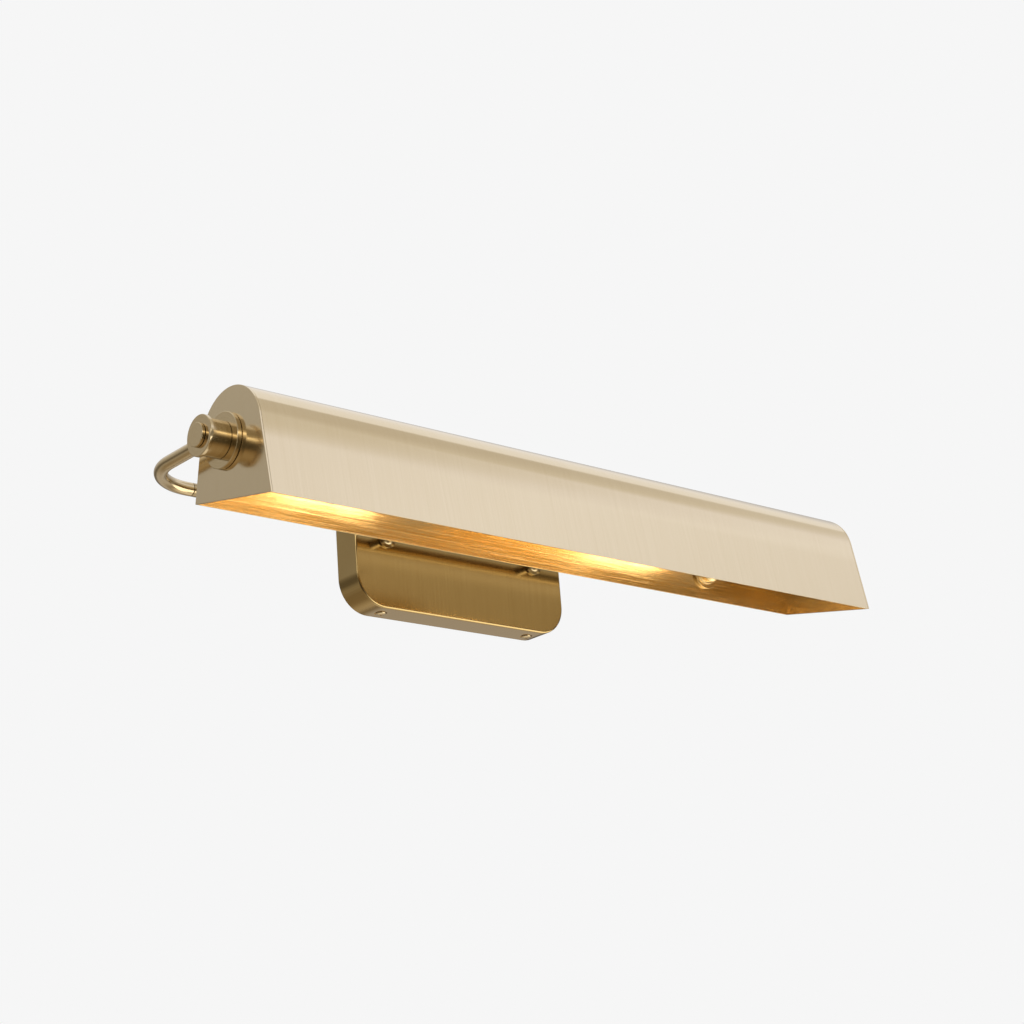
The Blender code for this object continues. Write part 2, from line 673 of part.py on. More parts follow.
def make_end(side_name, side, pivot):
    """One end of the shade: its cap, the rosette outside and the pivot nut inside."""
    flat(f"{side_name}_end_cap", [shade_section(), circle(HOLE_RADIUS)], CAP_THICKNESS, BRASS, parent=pivot,
         location=(side * (SHADE_END - CAP_THICKNESS / 2), 0, 0), rotation=OUTLINE_AS_YZ)
    rosette = [
        (ROSETTE_RADIUS - ROSETTE_CHAMFER, ROSETTE_THICKNESS),
        (ROSETTE_RADIUS, ROSETTE_THICKNESS - ROSETTE_CHAMFER),
        (ROSETTE_RADIUS, 0),
        (HOLE_RADIUS, 0),
        (HOLE_RADIUS, ROSETTE_THICKNESS),
    ]
    turned(f"{side_name}_rosette", rosette, BRASS, parent=pivot, location=(side * (SHADE_END + GAP), 0, 0),
           rotation=along_x(side))
    hex_nut(f"{side_name}_pivot_nut", PIVOT_NUT_ACROSS, HOLE_RADIUS, PIVOT_NUT_THICKNESS, parent=pivot,
            location=(side * (NUT_INNER + PIVOT_NUT_THICKNESS / 2), 0, 0), rotation=OUTLINE_AS_YZ)


def make_lampholder(side_name, side, pivot):
    """A turned cup with a rim at its mouth and a hollow threaded nipple at its back, its axis along X."""
    neck = HOLDER_RADIUS - HOLDER_WALL
    rim_end = HOLDER_LENGTH - HOLDER_RIM_WIDTH
    profile = [
        (HOLDER_RIM_RADIUS, HOLDER_LENGTH),
        (HOLDER_RIM_RADIUS, rim_end),
        (HOLDER_RADIUS, rim_end - HOLDER_RIM_RADIUS + HOLDER_RADIUS),
        (HOLDER_RADIUS, HOLDER_BACK_CHAMFER_LENGTH),
        (HOLDER_RADIUS - HOLDER_BACK_CHAMFER, 0),
        (HOLDER_NIPPLE_RADIUS, 0),
        (HOLDER_NIPPLE_RADIUS, -HOLDER_NIPPLE_LENGTH),
        (HOLDER_NIPPLE_BORE, -HOLDER_NIPPLE_LENGTH),
        (HOLDER_NIPPLE_BORE, HOLDER_FLOOR),
        (neck, HOLDER_FLOOR),
        (neck, HOLDER_LENGTH),
    ]
    turned(f"{side_name}_lampholder", profile, CERAMIC, sides=20, parent=pivot,
           location=(holder_mouth(side) + HOLDER_LENGTH, LAMP_Y, LAMP_Z), rotation=along_x(-1))
    behind = bracket_plane(side) + BRACKET_SHEET + GAP + HOLDER_NUT_THICKNESS / 2
    hex_nut(f"{side_name}_lampholder_nut", HOLDER_NUT_ACROSS, HOLDER_NIPPLE_RADIUS + RUNNING,
            HOLDER_NUT_THICKNESS, parent=pivot, location=(behind, LAMP_Y, LAMP_Z), rotation=OUTLINE_AS_YZ)


def make_bracket(side_name, side, pivot):
    """An angle of strip: one leg behind the lampholder, the other riveted to the back wall."""
    face = bracket_plane(side)
    wall = BACK_Y - SHEET - GAP
    section = [(face, LAMP_Y - BRACKET_REACH), (face, wall), (face + BRACKET_SHEET + BRACKET_FOOT, wall)]
    bracket = folded(f"{side_name}_bracket", section, BRACKET_HEIGHT, BRACKET_SHEET, STEEL, parent=pivot,
                     location=(0, 0, LAMP_Z), rotation=FOLD_AS_XY)
    holes = [cylinder_cutter(f"nipple_hole_{side_name}", HOLDER_NIPPLE_RADIUS + RUNNING,
                             BRACKET_SHEET * THROUGH, (face, LAMP_Y, LAMP_Z), ALONG_PLUS_X, pivot)]
    holes += [
        cylinder_cutter(f"bracket_rivet_hole_{side_name}_{i}", RIVET_RADIUS + RUNNING,
                        BRACKET_SHEET * THROUGH, (x, wall, z), ALONG_PLUS_Y, pivot, sides=12)
        for i, (x, z) in enumerate(rivet_places(side))
    ]
    cut(bracket, holes)


def make_rivets(side_name, side, pivot):
    """Snap-head rivets, domed on the shade's outside and set flat on the bracket."""
    through = SHEET + GAP + BRACKET_SHEET + 2 * GAP
    profile = [
        *dome(RIVET_HEAD_RADIUS, RIVET_HEAD_HEIGHT, 0),
        (RIVET_RADIUS, 0),
        (RIVET_RADIUS, -through),
        (RIVET_SET_RADIUS, -through),
        (RIVET_SET_RADIUS, -through - RIVET_SET_HEIGHT),
        (0, -through - RIVET_SET_HEIGHT),
    ]
    for place_name, (x, z) in zip(("inner", "outer"), rivet_places(side)):
        turned(f"{side_name}_{place_name}_rivet", profile, BRASS, sides=12, parent=pivot,
               location=(x, BACK_Y + GAP, z), rotation=ALONG_PLUS_Y)


def make_lamp(side_name, side, pivot):
    """A tubular lamp: its glass, open at the neck, and its metal cap, which stands in the lampholder."""
    mouth = (holder_mouth(side) - RUNNING, LAMP_Y, LAMP_Z)
    place = {"parent": pivot, "location": mouth, "rotation": along_x(-1)}
    arc = [math.pi / 2 * i / 4 for i in range(5)]
    dome = LAMP_LENGTH - LAMP_RADIUS
    outer = [(LAMP_RADIUS * math.sin(turn), dome + LAMP_RADIUS * math.cos(turn)) for turn in arc]
    hollow = LAMP_RADIUS - LAMP_WALL
    inner = [(hollow * math.sin(turn), dome + hollow * math.cos(turn)) for turn in reversed(arc)]
    neck = [
        (LAMP_RADIUS, LAMP_SHOULDER),
        (LAMP_NECK_RADIUS, 0),
        (LAMP_NECK_RADIUS - LAMP_WALL, 0),
        (hollow, LAMP_SHOULDER),
    ]
    profile = [(0, LAMP_LENGTH), *outer[1:], *neck, *inner[:-1], (0, LAMP_LENGTH - LAMP_WALL)]
    turned(f"{side_name}_lamp_glass", profile, GLASS, sides=16, **place)
    cap = [
        (LAMP_CAP_RADIUS, -GAP),
        (LAMP_CAP_RADIUS, LAMP_CAP_TAPER - LAMP_CAP_LENGTH),
        (LAMP_CONTACT_RADIUS, -LAMP_CAP_LENGTH),
        (0, -LAMP_CAP_LENGTH),
    ]
    turned(f"{side_name}_lamp_cap", [(0, -GAP), *cap], BRASS, sides=16, **place)


def lead_height(radial):
    return ARCH_Y + radial * math.cos(LEAD_ANGLE), ARCH_Z + radial * math.sin(LEAD_ANGLE)


def make_right_lead(pivot):
    """From the right lampholder's nipple straight on into the right clamp screw."""
    start = bracket_plane(1) + HOLDER_NIPPLE_LENGTH
    end = SCREW_INNER + LEAD_ENTRY
    places = [
        Vector((start, LAMP_Y, LAMP_Z)),
        Vector((start + LEAD_ENTRY, LAMP_Y, LAMP_Z)),
        Vector((SCREW_INNER - LEAD_ENTRY, 0, 0)),
        Vector((end, 0, 0)),
    ]
    curve = curve_through("right_lead", smooth_route(places, 3), LEAD_RADIUS, 2, True)
    add_part("right_lead", curve, LEAD, parent=pivot)


def make_left_lead(pivot):
    """From the left lampholder's nipple, back over its lamp under two clips, into the left clamp screw."""
    start = bracket_plane(-1) + HOLDER_NIPPLE_LENGTH
    back, up = lead_height(LEAD_RADIAL)
    loop = start + LEAD_TURN
    first = start - LEAD_TURN
    last = -SCREW_INNER + LEAD_FALL
    places = [
        Vector((start, LAMP_Y, LAMP_Z)),
        Vector((start + LEAD_STRAIGHT, LAMP_Y, LAMP_Z)),
        Vector((loop, (LAMP_Y * 2 + back) / 3, (LAMP_Z * 2 + up) / 3)),
        Vector((loop, (LAMP_Y + back * 2) / 3, (LAMP_Z + up * 2) / 3)),
        Vector((start, back, up)),
        *(Vector((first + (last - first) * share, back, up)) for share in (0, 0.25, 0.5, 0.75, 1)),
        Vector((-SCREW_INNER + LEAD_TURN, back / 2, up / 2)),
        Vector((-SCREW_INNER + LEAD_ENTRY, 0, 0)),
        Vector((-SCREW_INNER - LEAD_ENTRY, 0, 0)),
    ]
    curve = curve_through("left_lead", smooth_route(places, 3), LEAD_RADIUS, 2, True)
    add_part("left_lead", curve, LEAD, parent=pivot)
    for name, share in zip(("left_lead_clip", "middle_lead_clip"), CLIP_PLACES):
        make_lead_clip(name, last + (first - last) * share, pivot)


def make_lead_clip(name, x, pivot):
    """A block bonded inside the arch, with the lead running through it."""
    reach = ARCH_RADIUS - SHEET - GAP
    top = math.sqrt(reach * reach - CLIP_SIZE * CLIP_SIZE / 4)
    bottom = LEAD_RADIAL - LEAD_RADIUS * 2
    back, up = lead_height((top + bottom) / 2)
    shape = bmesh.new()
    bmesh.ops.create_cube(shape, size=1)
    bmesh.ops.scale(shape, verts=shape.verts, vec=(CLIP_SIZE, CLIP_SIZE, top - bottom))
    mesh = bpy.data.meshes.new(name)
    shape.to_mesh(mesh)
    shape.free()
    clip = add_part(name, mesh, CERAMIC, parent=pivot, location=(x, back, up),
                    rotation=(LEAD_ANGLE - math.pi / 2, 0, 0))
    cut(clip, [cylinder_cutter(name + "_way", LEAD_RADIUS + RUNNING, CLIP_SIZE * 2,
                               (x, *lead_height(LEAD_RADIAL)), ALONG_PLUS_X, pivot, sides=12)])


def make_switch(pivot):
    """A rotary switch: its body inside the back wall, its stem and nut through it and its knob outside."""
    inside = BACK_Y - SHEET - GAP
    body = [
        (SWITCH_STEM_RADIUS, SWITCH_STEM_LENGTH),
        (SWITCH_STEM_RADIUS, 0),
        (SWITCH_FLANGE_RADIUS, 0),
        (SWITCH_FLANGE_RADIUS, -SWITCH_FLANGE_THICKNESS),
        (SWITCH_BODY_RADIUS, -SWITCH_FLANGE_THICKNESS),
        (SWITCH_BODY_RADIUS, -SWITCH_BODY_DEPTH),
        (SWITCH_BASE_RADIUS, -SWITCH_BODY_DEPTH - SWITCH_BASE_HEIGHT),
        (0, -SWITCH_BODY_DEPTH - SWITCH_BASE_HEIGHT),
    ]
    turned("switch_body", [(0, SWITCH_STEM_LENGTH), *body], BRASS, parent=pivot,
           location=(SWITCH_X, inside, SWITCH_Z), rotation=ALONG_PLUS_Y)
    nut = BACK_Y + GAP + SWITCH_NUT_THICKNESS / 2
    hex_nut("switch_nut", SWITCH_NUT_ACROSS, SWITCH_STEM_RADIUS + RUNNING, SWITCH_NUT_THICKNESS, parent=pivot,
            location=(SWITCH_X, nut, SWITCH_Z), rotation=OUTLINE_AS_XZ)
    base = BACK_Y + SWITCH_NUT_THICKNESS + 2 * GAP
    stem_end = inside + SWITCH_STEM_LENGTH - base + GAP
    bore = SWITCH_STEM_RADIUS + RUNNING
    knob = [
        (0, SWITCH_KNOB_LENGTH),
        (SWITCH_KNOB_RADIUS - KNOB_CHAMFER, SWITCH_KNOB_LENGTH),
        (SWITCH_KNOB_RADIUS, SWITCH_KNOB_LENGTH - KNOB_CHAMFER),
        (SWITCH_KNOB_RADIUS, 0),
        (bore, 0),
        (bore, stem_end),
        (0, stem_end),
    ]
    turned("switch_knob", knob, BRASS, sides=24, parent=pivot, location=(SWITCH_X, base, SWITCH_Z),
           rotation=ALONG_PLUS_Y)


def make_shade():
    pivot = bpy.data.objects.new("shade_pivot", None)
    PARTS.objects.link(pivot)
    pivot.location = (0, PIVOT_Y, 0)
    pivot.rotation_euler = (TILT_AT_REST, 0, 0)
    make_shade_sheet(pivot)
    for side_name, side in (("left", -1), ("right", 1)):
        make_end(side_name, side, pivot)
        make_lampholder(side_name, side, pivot)
        make_bracket(side_name, side, pivot)
        make_rivets(side_name, side, pivot)
        make_lamp(side_name, side, pivot)
    make_right_lead(pivot)
    make_left_lead(pivot)
    make_switch(pivot)


def make_wall_frame():
    make_mounting_channel()
    make_backplate()
    make_side_screws()
    make_terminal_block()
    make_earth_screw()
    make_rear_bar()
    for side_name, side in (("left", -1), ("right", 1)):
        make_post(side_name, side)
        make_arm(side_name, side)
        make_bar_nipple(side_name, side)
        make_hub(side_name, side)
        make_clamp_knob(side_name, side)


make_wall_frame()
make_shade()
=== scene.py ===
import json
import math
from contextlib import contextmanager

import bmesh
import bpy
from mathutils import Matrix, Vector


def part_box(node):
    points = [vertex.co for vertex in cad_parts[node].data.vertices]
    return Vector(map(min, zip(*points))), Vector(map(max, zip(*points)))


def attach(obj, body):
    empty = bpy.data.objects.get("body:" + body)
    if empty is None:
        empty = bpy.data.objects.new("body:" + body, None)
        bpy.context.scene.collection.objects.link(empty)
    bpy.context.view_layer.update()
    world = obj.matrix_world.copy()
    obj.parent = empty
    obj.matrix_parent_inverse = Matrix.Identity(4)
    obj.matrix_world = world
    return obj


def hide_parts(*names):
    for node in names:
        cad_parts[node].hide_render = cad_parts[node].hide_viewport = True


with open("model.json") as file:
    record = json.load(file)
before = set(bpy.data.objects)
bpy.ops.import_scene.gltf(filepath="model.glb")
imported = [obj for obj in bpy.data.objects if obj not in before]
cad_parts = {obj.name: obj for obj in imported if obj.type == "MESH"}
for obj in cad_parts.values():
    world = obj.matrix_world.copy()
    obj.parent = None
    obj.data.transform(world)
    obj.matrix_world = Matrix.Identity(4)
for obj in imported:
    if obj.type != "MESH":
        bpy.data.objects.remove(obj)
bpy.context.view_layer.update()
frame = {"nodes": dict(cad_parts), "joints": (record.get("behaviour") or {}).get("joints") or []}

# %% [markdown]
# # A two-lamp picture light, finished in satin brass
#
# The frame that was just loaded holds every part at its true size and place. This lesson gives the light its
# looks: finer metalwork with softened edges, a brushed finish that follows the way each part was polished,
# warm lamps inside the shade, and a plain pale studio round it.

SIDES = (("left", -1), ("right", 1))
X_AXIS = Vector((1, 0, 0))
Y_AXIS = Vector((0, 1, 0))
Z_AXIS = Vector((0, 0, 1))


def corners_of(node):
    """The low and high corners of a frame node's box, and the middle between them."""
    low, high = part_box(node)
    return low, high, (low + high) / 2

# %% [markdown]
# ## The camera
#
# The view looks up at the light from low on the left, through a long lens that keeps the shade's edges
# almost parallel. It could be aimed with a Track To constraint, but a camera held by hand is never quite
# level, so its own three directions are worked out from the heading, the upward pitch and a small roll.

# %% Camera
CAMERA_PLACE = Vector((-1.0599, -1.2594, -0.5215))
HEADING = math.radians(42.156)
PITCH = math.radians(18.739)
ROLL = math.radians(-4.522)
LENS_MM = 74.81

on_map = Vector((math.sin(HEADING), math.cos(HEADING), 0))
ahead = on_map * math.cos(PITCH) + Z_AXIS * math.sin(PITCH)
level = Vector((math.cos(HEADING), -math.sin(HEADING), 0))
upright = level.cross(ahead)
across = level * math.cos(ROLL) + upright * math.sin(ROLL)
over = upright * math.cos(ROLL) - level * math.sin(ROLL)

camera_data = bpy.data.cameras.new("studio_camera")
camera_data.lens = LENS_MM
camera_data.clip_start = 0.01
camera = bpy.data.objects.new("studio_camera", camera_data)
bpy.context.scene.collection.objects.link(camera)
turn = Matrix((across, over, -ahead)).transposed().to_4x4()
camera.matrix_world = Matrix.Translation(CAMERA_PLACE) @ turn
bpy.context.scene.camera = camera
print("camera lens", LENS_MM, "mm")

# %% [markdown]
# ## A small language for materials
#
# A material is a graph of nodes, and its maths is hard to read as a list of links. So one class wraps a
# node's output and overloads the arithmetic signs: each sign adds one Math node. A second class holds the
# material and adds any other node through a single method.

# %% Sockets that can be added and multiplied


class Signal:
    """A node's output, on which + - * / and ** add Math nodes."""

    def __init__(self, finish, socket):
        self.finish = finish
        self.socket = socket

    def __add__(self, other):
        return self.finish.maths("ADD", self, other)

    def __radd__(self, other):
        return self.finish.maths("ADD", other, self)

    def __sub__(self, other):
        return self.finish.maths("SUBTRACT", self, other)

    def __rsub__(self, other):
        return self.finish.maths("SUBTRACT", other, self)

    def __mul__(self, other):
        return self.finish.maths("MULTIPLY", self, other)

    def __rmul__(self, other):
        return self.finish.maths("MULTIPLY", other, self)

    def __truediv__(self, other):
        return self.finish.maths("DIVIDE", self, other)

    def __pow__(self, other):
        return self.finish.maths("POWER", self, other)


class Finish:
    """One material: its node tree, its main shader and the ways to add to them."""

    def __init__(self, name, **constants):
        self.material = bpy.data.materials.new(name)
        self.material.use_nodes = True
        self.tree = self.material.node_tree
        self.shader = self.tree.nodes["Principled BSDF"]
        for socket, value in constants.items():
            self.shader.inputs[socket.replace("_", " ")].default_value = value

    def add(self, kind, settings=None, inputs=None, output=0):
        node = self.tree.nodes.new(kind)
        for key, value in (settings or {}).items():
            setattr(node, key, value)
        for key, value in (inputs or {}).items():
            self.connect(node.inputs[key], value)
        return Signal(self, node.outputs[output])

    def maths(self, operation, first, second):
        return self.add("ShaderNodeMath", {"operation": operation}, {0: first, 1: second})

    def connect(self, target, value):
        if isinstance(value, Signal):
            self.tree.links.new(value.socket, target)
        else:
            target.default_value = value

    def feed(self, socket, value):
        self.connect(self.shader.inputs[socket], value)

    def place(self):
        return self.add("ShaderNodeTexCoord", output="Object")

    def noise(self, vector, scale=1.0, detail=2.0, roughness=0.5):
        inputs = {"Vector": vector, "Scale": scale, "Detail": detail, "Roughness": roughness}
        return self.add("ShaderNodeTexNoise", {"noise_dimensions": "3D"}, inputs)

    def stretched(self, vector, scales):
        return self.add("ShaderNodeVectorMath", {"operation": "MULTIPLY"}, {0: vector, 1: scales})

    def blend(self, share, first, second):
        """A colour between two colours."""
        return self.add("ShaderNodeMix", {"data_type": "RGBA"}, {0: share, 6: first, 7: second}, 2)

    def clamp(self, value, low, high, start, end):
        """Value from low..high taken to start..end, and held there outside."""
        inputs = {"Value": value, "From Min": low, "From Max": high, "To Min": start, "To Max": end}
        return self.add("ShaderNodeMapRange", {"clamp": True}, inputs)

    def bump(self, height, depth):
        """Raises the surface by height times depth, in metres."""
        inputs = {"Height": height, "Distance": depth}
        self.feed("Normal", self.add("ShaderNodeBump", {}, inputs, "Normal"))


print("material tools ready")

# %% [markdown]
# ## Satin brass
#
# The metal is brass, polished with a fine abrasive and lacquered. Seen close, it is thousands of shallow
# parallel scratches. They blur a reflection across their own direction and leave it crisp along it, which
# is why a lamp's end stays sharp in the metal while its length smears. An anisotropic shader could fake
# this with a tangent, but real scratches made by a bump do it for any direction: noise that is squeezed in
# one direction and stretched in the other.
#
# - Outside the shade, the scratches run round its section.
# - Inside the shade, they run along it, and the brass there is tinted warmer and deeper: painted lamp light.
# - Turned parts were polished while they spun, so their scratches are circles round their own axis.
# - The bar and its posts stand in the shade's shadow, and that shadow is painted into their brass, which is
#   darker than the rest.
# - The backplate sits in shadow against the wall, and that shadow is painted into its brass too.

# %% The brass finishes
BRASS_PALE = (0.83, 0.70, 0.475, 1)
BRASS_DEEP = (0.80, 0.665, 0.44, 1)
AGED_PALE = (0.74, 0.60, 0.37, 1)
AGED_DEEP = (0.68, 0.54, 0.32, 1)
# Painted shade: the backplate's brass is darker and browner than the shade's, standing in for the shadow it
# sits in against the wall
PLATE_PAINTED_SHADE_PALE = (0.53, 0.385, 0.17, 1)
PLATE_PAINTED_SHADE_DEEP = (0.47, 0.33, 0.135, 1)
# Painted shade: the bar's and the posts' brass is darker, to stand for the shadow under the shade
BAR_PAINTED_SHADE_PALE = (0.54, 0.43, 0.25, 1)
BAR_PAINTED_SHADE_DEEP = (0.46, 0.36, 0.20, 1)
# Painted light: the inside's brass is warmer than the outside's, standing in for the lamps' warm glow on it
INNER_LAMPLIT_PALE = (0.87, 0.66, 0.345, 1)
INNER_LAMPLIT_DEEP = (0.80, 0.57, 0.26, 1)
PIVOT = Vector(frame["joints"][0]["pos_m"])
LACQUERED = {"Metallic": 1.0, "Coat_Weight": 0.12, "Coat_Roughness": 0.08}
SCRATCHES = 2600            # per metre, across the scratches
RUN = 14                    # per metre, along them


def brushed(name, directions, roughness, depth, pale=BRASS_PALE, deep=BRASS_DEEP, form=None):
    """Brass with scratches: directions gives how fast the noise changes along X, Y and Z."""
    finish = Finish(name, **LACQUERED)
    place = finish.place()
    swell = form(finish, place) if form else 0.0
    return brass_from(finish, place, directions, roughness, depth, pale, deep, swell)


def brass_from(finish, place, directions, roughness, depth, pale, deep, swell=0.0):
    """Scratches, broader bands of them, and the cloudy haze that handling leaves."""
    fine = finish.noise(finish.stretched(place, directions), 1.0, 3.0, 0.6)
    bands = finish.noise(finish.stretched(place, tuple(d * 0.3 for d in directions)), 1.0, 2.0)
    haze = finish.noise(place, 19.0, 3.0)
    specks = finish.noise(place, 900.0, 1.0)
    tone = finish.clamp(fine * 0.6 + bands * 0.2 + haze * 0.2, 0.38, 0.62, 0.0, 1.0)
    finish.feed("Base Color", finish.blend(tone, deep, pale))
    uneven = (fine - 0.5) * 0.06 + (bands - 0.5) * 0.05 + (haze - 0.5) * 0.08 + (specks - 0.5) * 0.02
    finish.feed("Roughness", uneven + roughness)
    finish.bump((fine + bands * 0.15) * depth + swell, 1.0)
    return finish.material


def turned_brass(name, axis_point, axis, roughness=0.15, depth=0.000006, pale=AGED_PALE, deep=AGED_DEEP):
    """Brass polished on a lathe: the scratches are circles round an axis that runs along X, Y or Z."""
    finish = Finish(name, **LACQUERED)
    centred = finish.add("ShaderNodeVectorMath", {"operation": "SUBTRACT"},
                         {0: finish.place(), 1: tuple(axis_point)})
    parts = {}
    for index, letter in enumerate("XYZ"):
        parts[letter] = finish.add("ShaderNodeSeparateXYZ", {}, {"Vector": centred}, index)
    along = parts.pop(axis)
    one, two = parts.values()
    radius = (one * one + two * two) ** 0.5
    angle = finish.maths("ARCTAN2", one, two)
    rolled = finish.add("ShaderNodeCombineXYZ", {}, {"X": radius, "Y": along, "Z": angle * 0.01})
    return brass_from(finish, rolled, (SCRATCHES, SCRATCHES, 90), roughness, depth, pale, deep)


ACROSS_X = (SCRATCHES, RUN, RUN)
ALONG_X = (RUN * 0.6, SCRATCHES * 5, SCRATCHES * 5)
inside_brass_lamplit = brushed("brass_brushed_along_the_shade", ALONG_X, 0.12, 0.000075, INNER_LAMPLIT_PALE, INNER_LAMPLIT_DEEP)
end_brass = brushed("brass_end_plates", (SCRATCHES, SCRATCHES, RUN * 4), 0.15, 0.000003)
plate_brass_painted_shade = brushed("brass_backplate", ACROSS_X, 0.15, 0.000005, PLATE_PAINTED_SHADE_PALE, PLATE_PAINTED_SHADE_DEEP)
ON_TUBE = (RUN * 8, SCRATCHES * 0.5, SCRATCHES * 0.5)
tube_brass = brushed("brass_tube", ON_TUBE, 0.18, 0.000005, AGED_PALE, AGED_DEEP)
bar_brass_painted_shade = brushed("brass_bar_painted_shade", ON_TUBE, 0.22, 0.000005, BAR_PAINTED_SHADE_PALE, BAR_PAINTED_SHADE_DEEP)
pivot_brass = turned_brass("brass_turned_round_the_pivot", PIVOT, "X")
print("brass finishes:", len(bpy.data.materials))

# %% [markdown]
# ## Tools for shaping
#
# Pieces are made with the same operators as by hand. Each one works on what is selected, so the first helper
# clears the selection, and another picks verts, edges or faces by where they are. A turned piece starts as a
# circle whose ring is extruded and resized up its profile, as a lathe tool follows a template.

# %% Selecting and finishing


def only(piece):
    """Selects this object alone."""
    bpy.ops.object.select_all(action="DESELECT")
    piece.hide_set(False)
    piece.select_set(True)
    bpy.context.view_layer.objects.active = piece


@contextmanager
def editing(piece):
    only(piece)
    bpy.ops.object.mode_set(mode="EDIT")
    yield
    bpy.ops.object.mode_set(mode="OBJECT")


def pick(piece, kind, wanted):
    """In edit mode, selects just the verts, edges or faces whose middle passes the test."""
    bpy.ops.mesh.select_mode(type=kind)
    bpy.ops.mesh.select_all(action="DESELECT")
    shape = bmesh.from_edit_mesh(piece.data)
    for item in {"VERT": shape.verts, "EDGE": shape.edges, "FACE": shape.faces}[kind]:
        corners = [item] if kind == "VERT" else list(item.verts)
        middle = sum((corner.co for corner in corners), Vector()) / len(corners)
        if wanted(middle, item):
            item.select_set(True)
    shape.select_flush_mode()
    bmesh.update_edit_mesh(piece.data)


def turn_outward(piece, wanted, inward):
    """In edit mode, flips the whole piece if the wanted faces look inward."""
    pick(piece, "FACE", wanted)
    shape = bmesh.from_edit_mesh(piece.data)
    wrong = [face for face in shape.faces if face.select and face.normal.dot(inward) > 0]
    bpy.ops.mesh.select_all(action="SELECT")
    if wrong:
        bpy.ops.mesh.flip_normals()


def named(name):
    """The object that an operator has just made, under its own name."""
    piece = bpy.context.object
    piece.name = name
    piece.data.name = name
    return piece


def settle(piece, matrix=Matrix.Identity(4)):
    """Moves a piece by a matrix and then writes its place into its mesh."""
    only(piece)
    piece.matrix_world = matrix @ piece.matrix_world
    bpy.ops.object.transform_apply(location=True, rotation=True, scale=True)


def facing(centre, along):
    """The matrix that stands a piece made on +Z at a centre, pointing along a direction."""
    turn = Z_AXIS.rotation_difference(Vector(along)).to_matrix().to_4x4()
    return Matrix.Translation(centre) @ turn


def apply_modifier(piece, kind, **settings):
    only(piece)
    modifier = piece.modifiers.new(kind.lower(), kind)
    for key, value in settings.items():
        setattr(modifier, key, value)
    bpy.ops.object.modifier_apply(modifier=modifier.name)


def soften(piece, width, segments=3, angle=32):
    """Breaks the sharp edges, as a file and polish do, and shades the rest smooth."""
    apply_modifier(piece, "BEVEL", width=width, segments=segments, limit_method="ANGLE",
                   angle_limit=math.radians(angle), use_clamp_overlap=True, harden_normals=False)
    only(piece)
    bpy.ops.object.shade_smooth_by_angle(angle=math.radians(angle))
    apply_modifier(piece, "WEIGHTED_NORMAL", keep_sharp=True, weight=100)


def drill(piece, radius, length, centre, along, sides=48):
    """Cuts a round hole with a cylinder that is then thrown away."""
    bpy.ops.object.select_all(action="DESELECT")
    bpy.ops.mesh.primitive_cylinder_add(vertices=sides, radius=radius, depth=length)
    tool = named("drill")
    settle(tool, facing(centre, along))
    apply_modifier(piece, "BOOLEAN", operation="DIFFERENCE", object=tool)
    bpy.data.objects.remove(tool)


def fit(piece, body, material, *nodes, slot="brushed_brass"):
    """Gives a piece its material, its body and the frame nodes that it stands for."""
    if material is not None:
        piece.data.materials.clear()
        piece.data.materials.append(material)
    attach(piece, body)
    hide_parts(*nodes)
    return piece


# %% Turning


def turned(name, profile, sides=96):
    """A solid turned from (radius, height) points. A profile that ends where it starts leaves a bore."""
    bored = profile[0] == profile[-1]
    radius, height = profile[0]
    bpy.ops.object.select_all(action="DESELECT")
    bpy.ops.mesh.primitive_circle_add(vertices=sides, radius=radius)
    piece = named(name)
    with editing(piece):
        bpy.ops.mesh.select_mode(type="EDGE")
        bpy.ops.mesh.select_all(action="SELECT")
        bpy.ops.transform.translate(value=(0, 0, height))
        if not bored:
            bpy.ops.mesh.edge_face_add()
        for (r0, h0), (r1, h1) in zip(profile, profile[1:]):
            bpy.ops.mesh.extrude_edges_move(TRANSFORM_OT_translate={"value": (0, 0, h1 - h0)})
            bpy.ops.transform.resize(value=(r1 / r0, r1 / r0, 1), center_override=(0, 0, h1))
        if not bored:
            bpy.ops.mesh.edge_face_add()
        bpy.ops.mesh.select_all(action="SELECT")
        bpy.ops.mesh.remove_doubles(threshold=0.000002)
        bpy.ops.mesh.normals_make_consistent(inside=False)
    return piece


def arc(centre, radius, start, end, steps):
    """(radius, height) points round part of a circle, its angles in degrees."""
    turns = [math.radians(start + (end - start) * i / steps) for i in range(steps + 1)]
    return [(centre[0] + radius * math.cos(t), centre[1] + radius * math.sin(t)) for t in turns]


print("turning tools ready")

# %% [markdown]
# ## The shade's sheet
#
# The shade is one long sheet: a flat front that slopes out to the lip, an arch over the lamps and an
# upright back. It could be cut from a cylinder, but it was really folded from flat brass, so it is made
# that way: a plane is laid on the slope of the front, its top edge is spun round the arch, and the last
# edge is drawn down the back. Then it gets the sheet's thickness, and its cut edges are broken so that they
# catch the light.
#
# It is modelled level, with the tilt axis at the origin, and tilted into place at the end. On the real sheet
# the flat front eases into the arch over a short way. Here that is only a bump in its finish: the mesh goes
# straight from flat to round.

# %% Shade sheet
TILT = math.radians(11.75)
IN_SHADE = Matrix.Translation(PIVOT) @ Matrix.Rotation(TILT, 4, "X")
SHEET = 0.0010
ARCH_RADIUS = 0.0362
ARCH_CENTRE = Vector((0, -0.0044, 0.0022))
LIP = Vector((0, -0.0597, -0.0407))
BACK_Y = ARCH_CENTRE.y + ARCH_RADIUS
ARCH_STEPS = 64
EDGE_BREAK = 0.00022
EASE = 0.0180               # how far the swell runs, each side of the arch's start
EASE_DEPTH = 0.0021
END_GAP = 0.00025           # how much of the gap at each end plate the sheet takes up

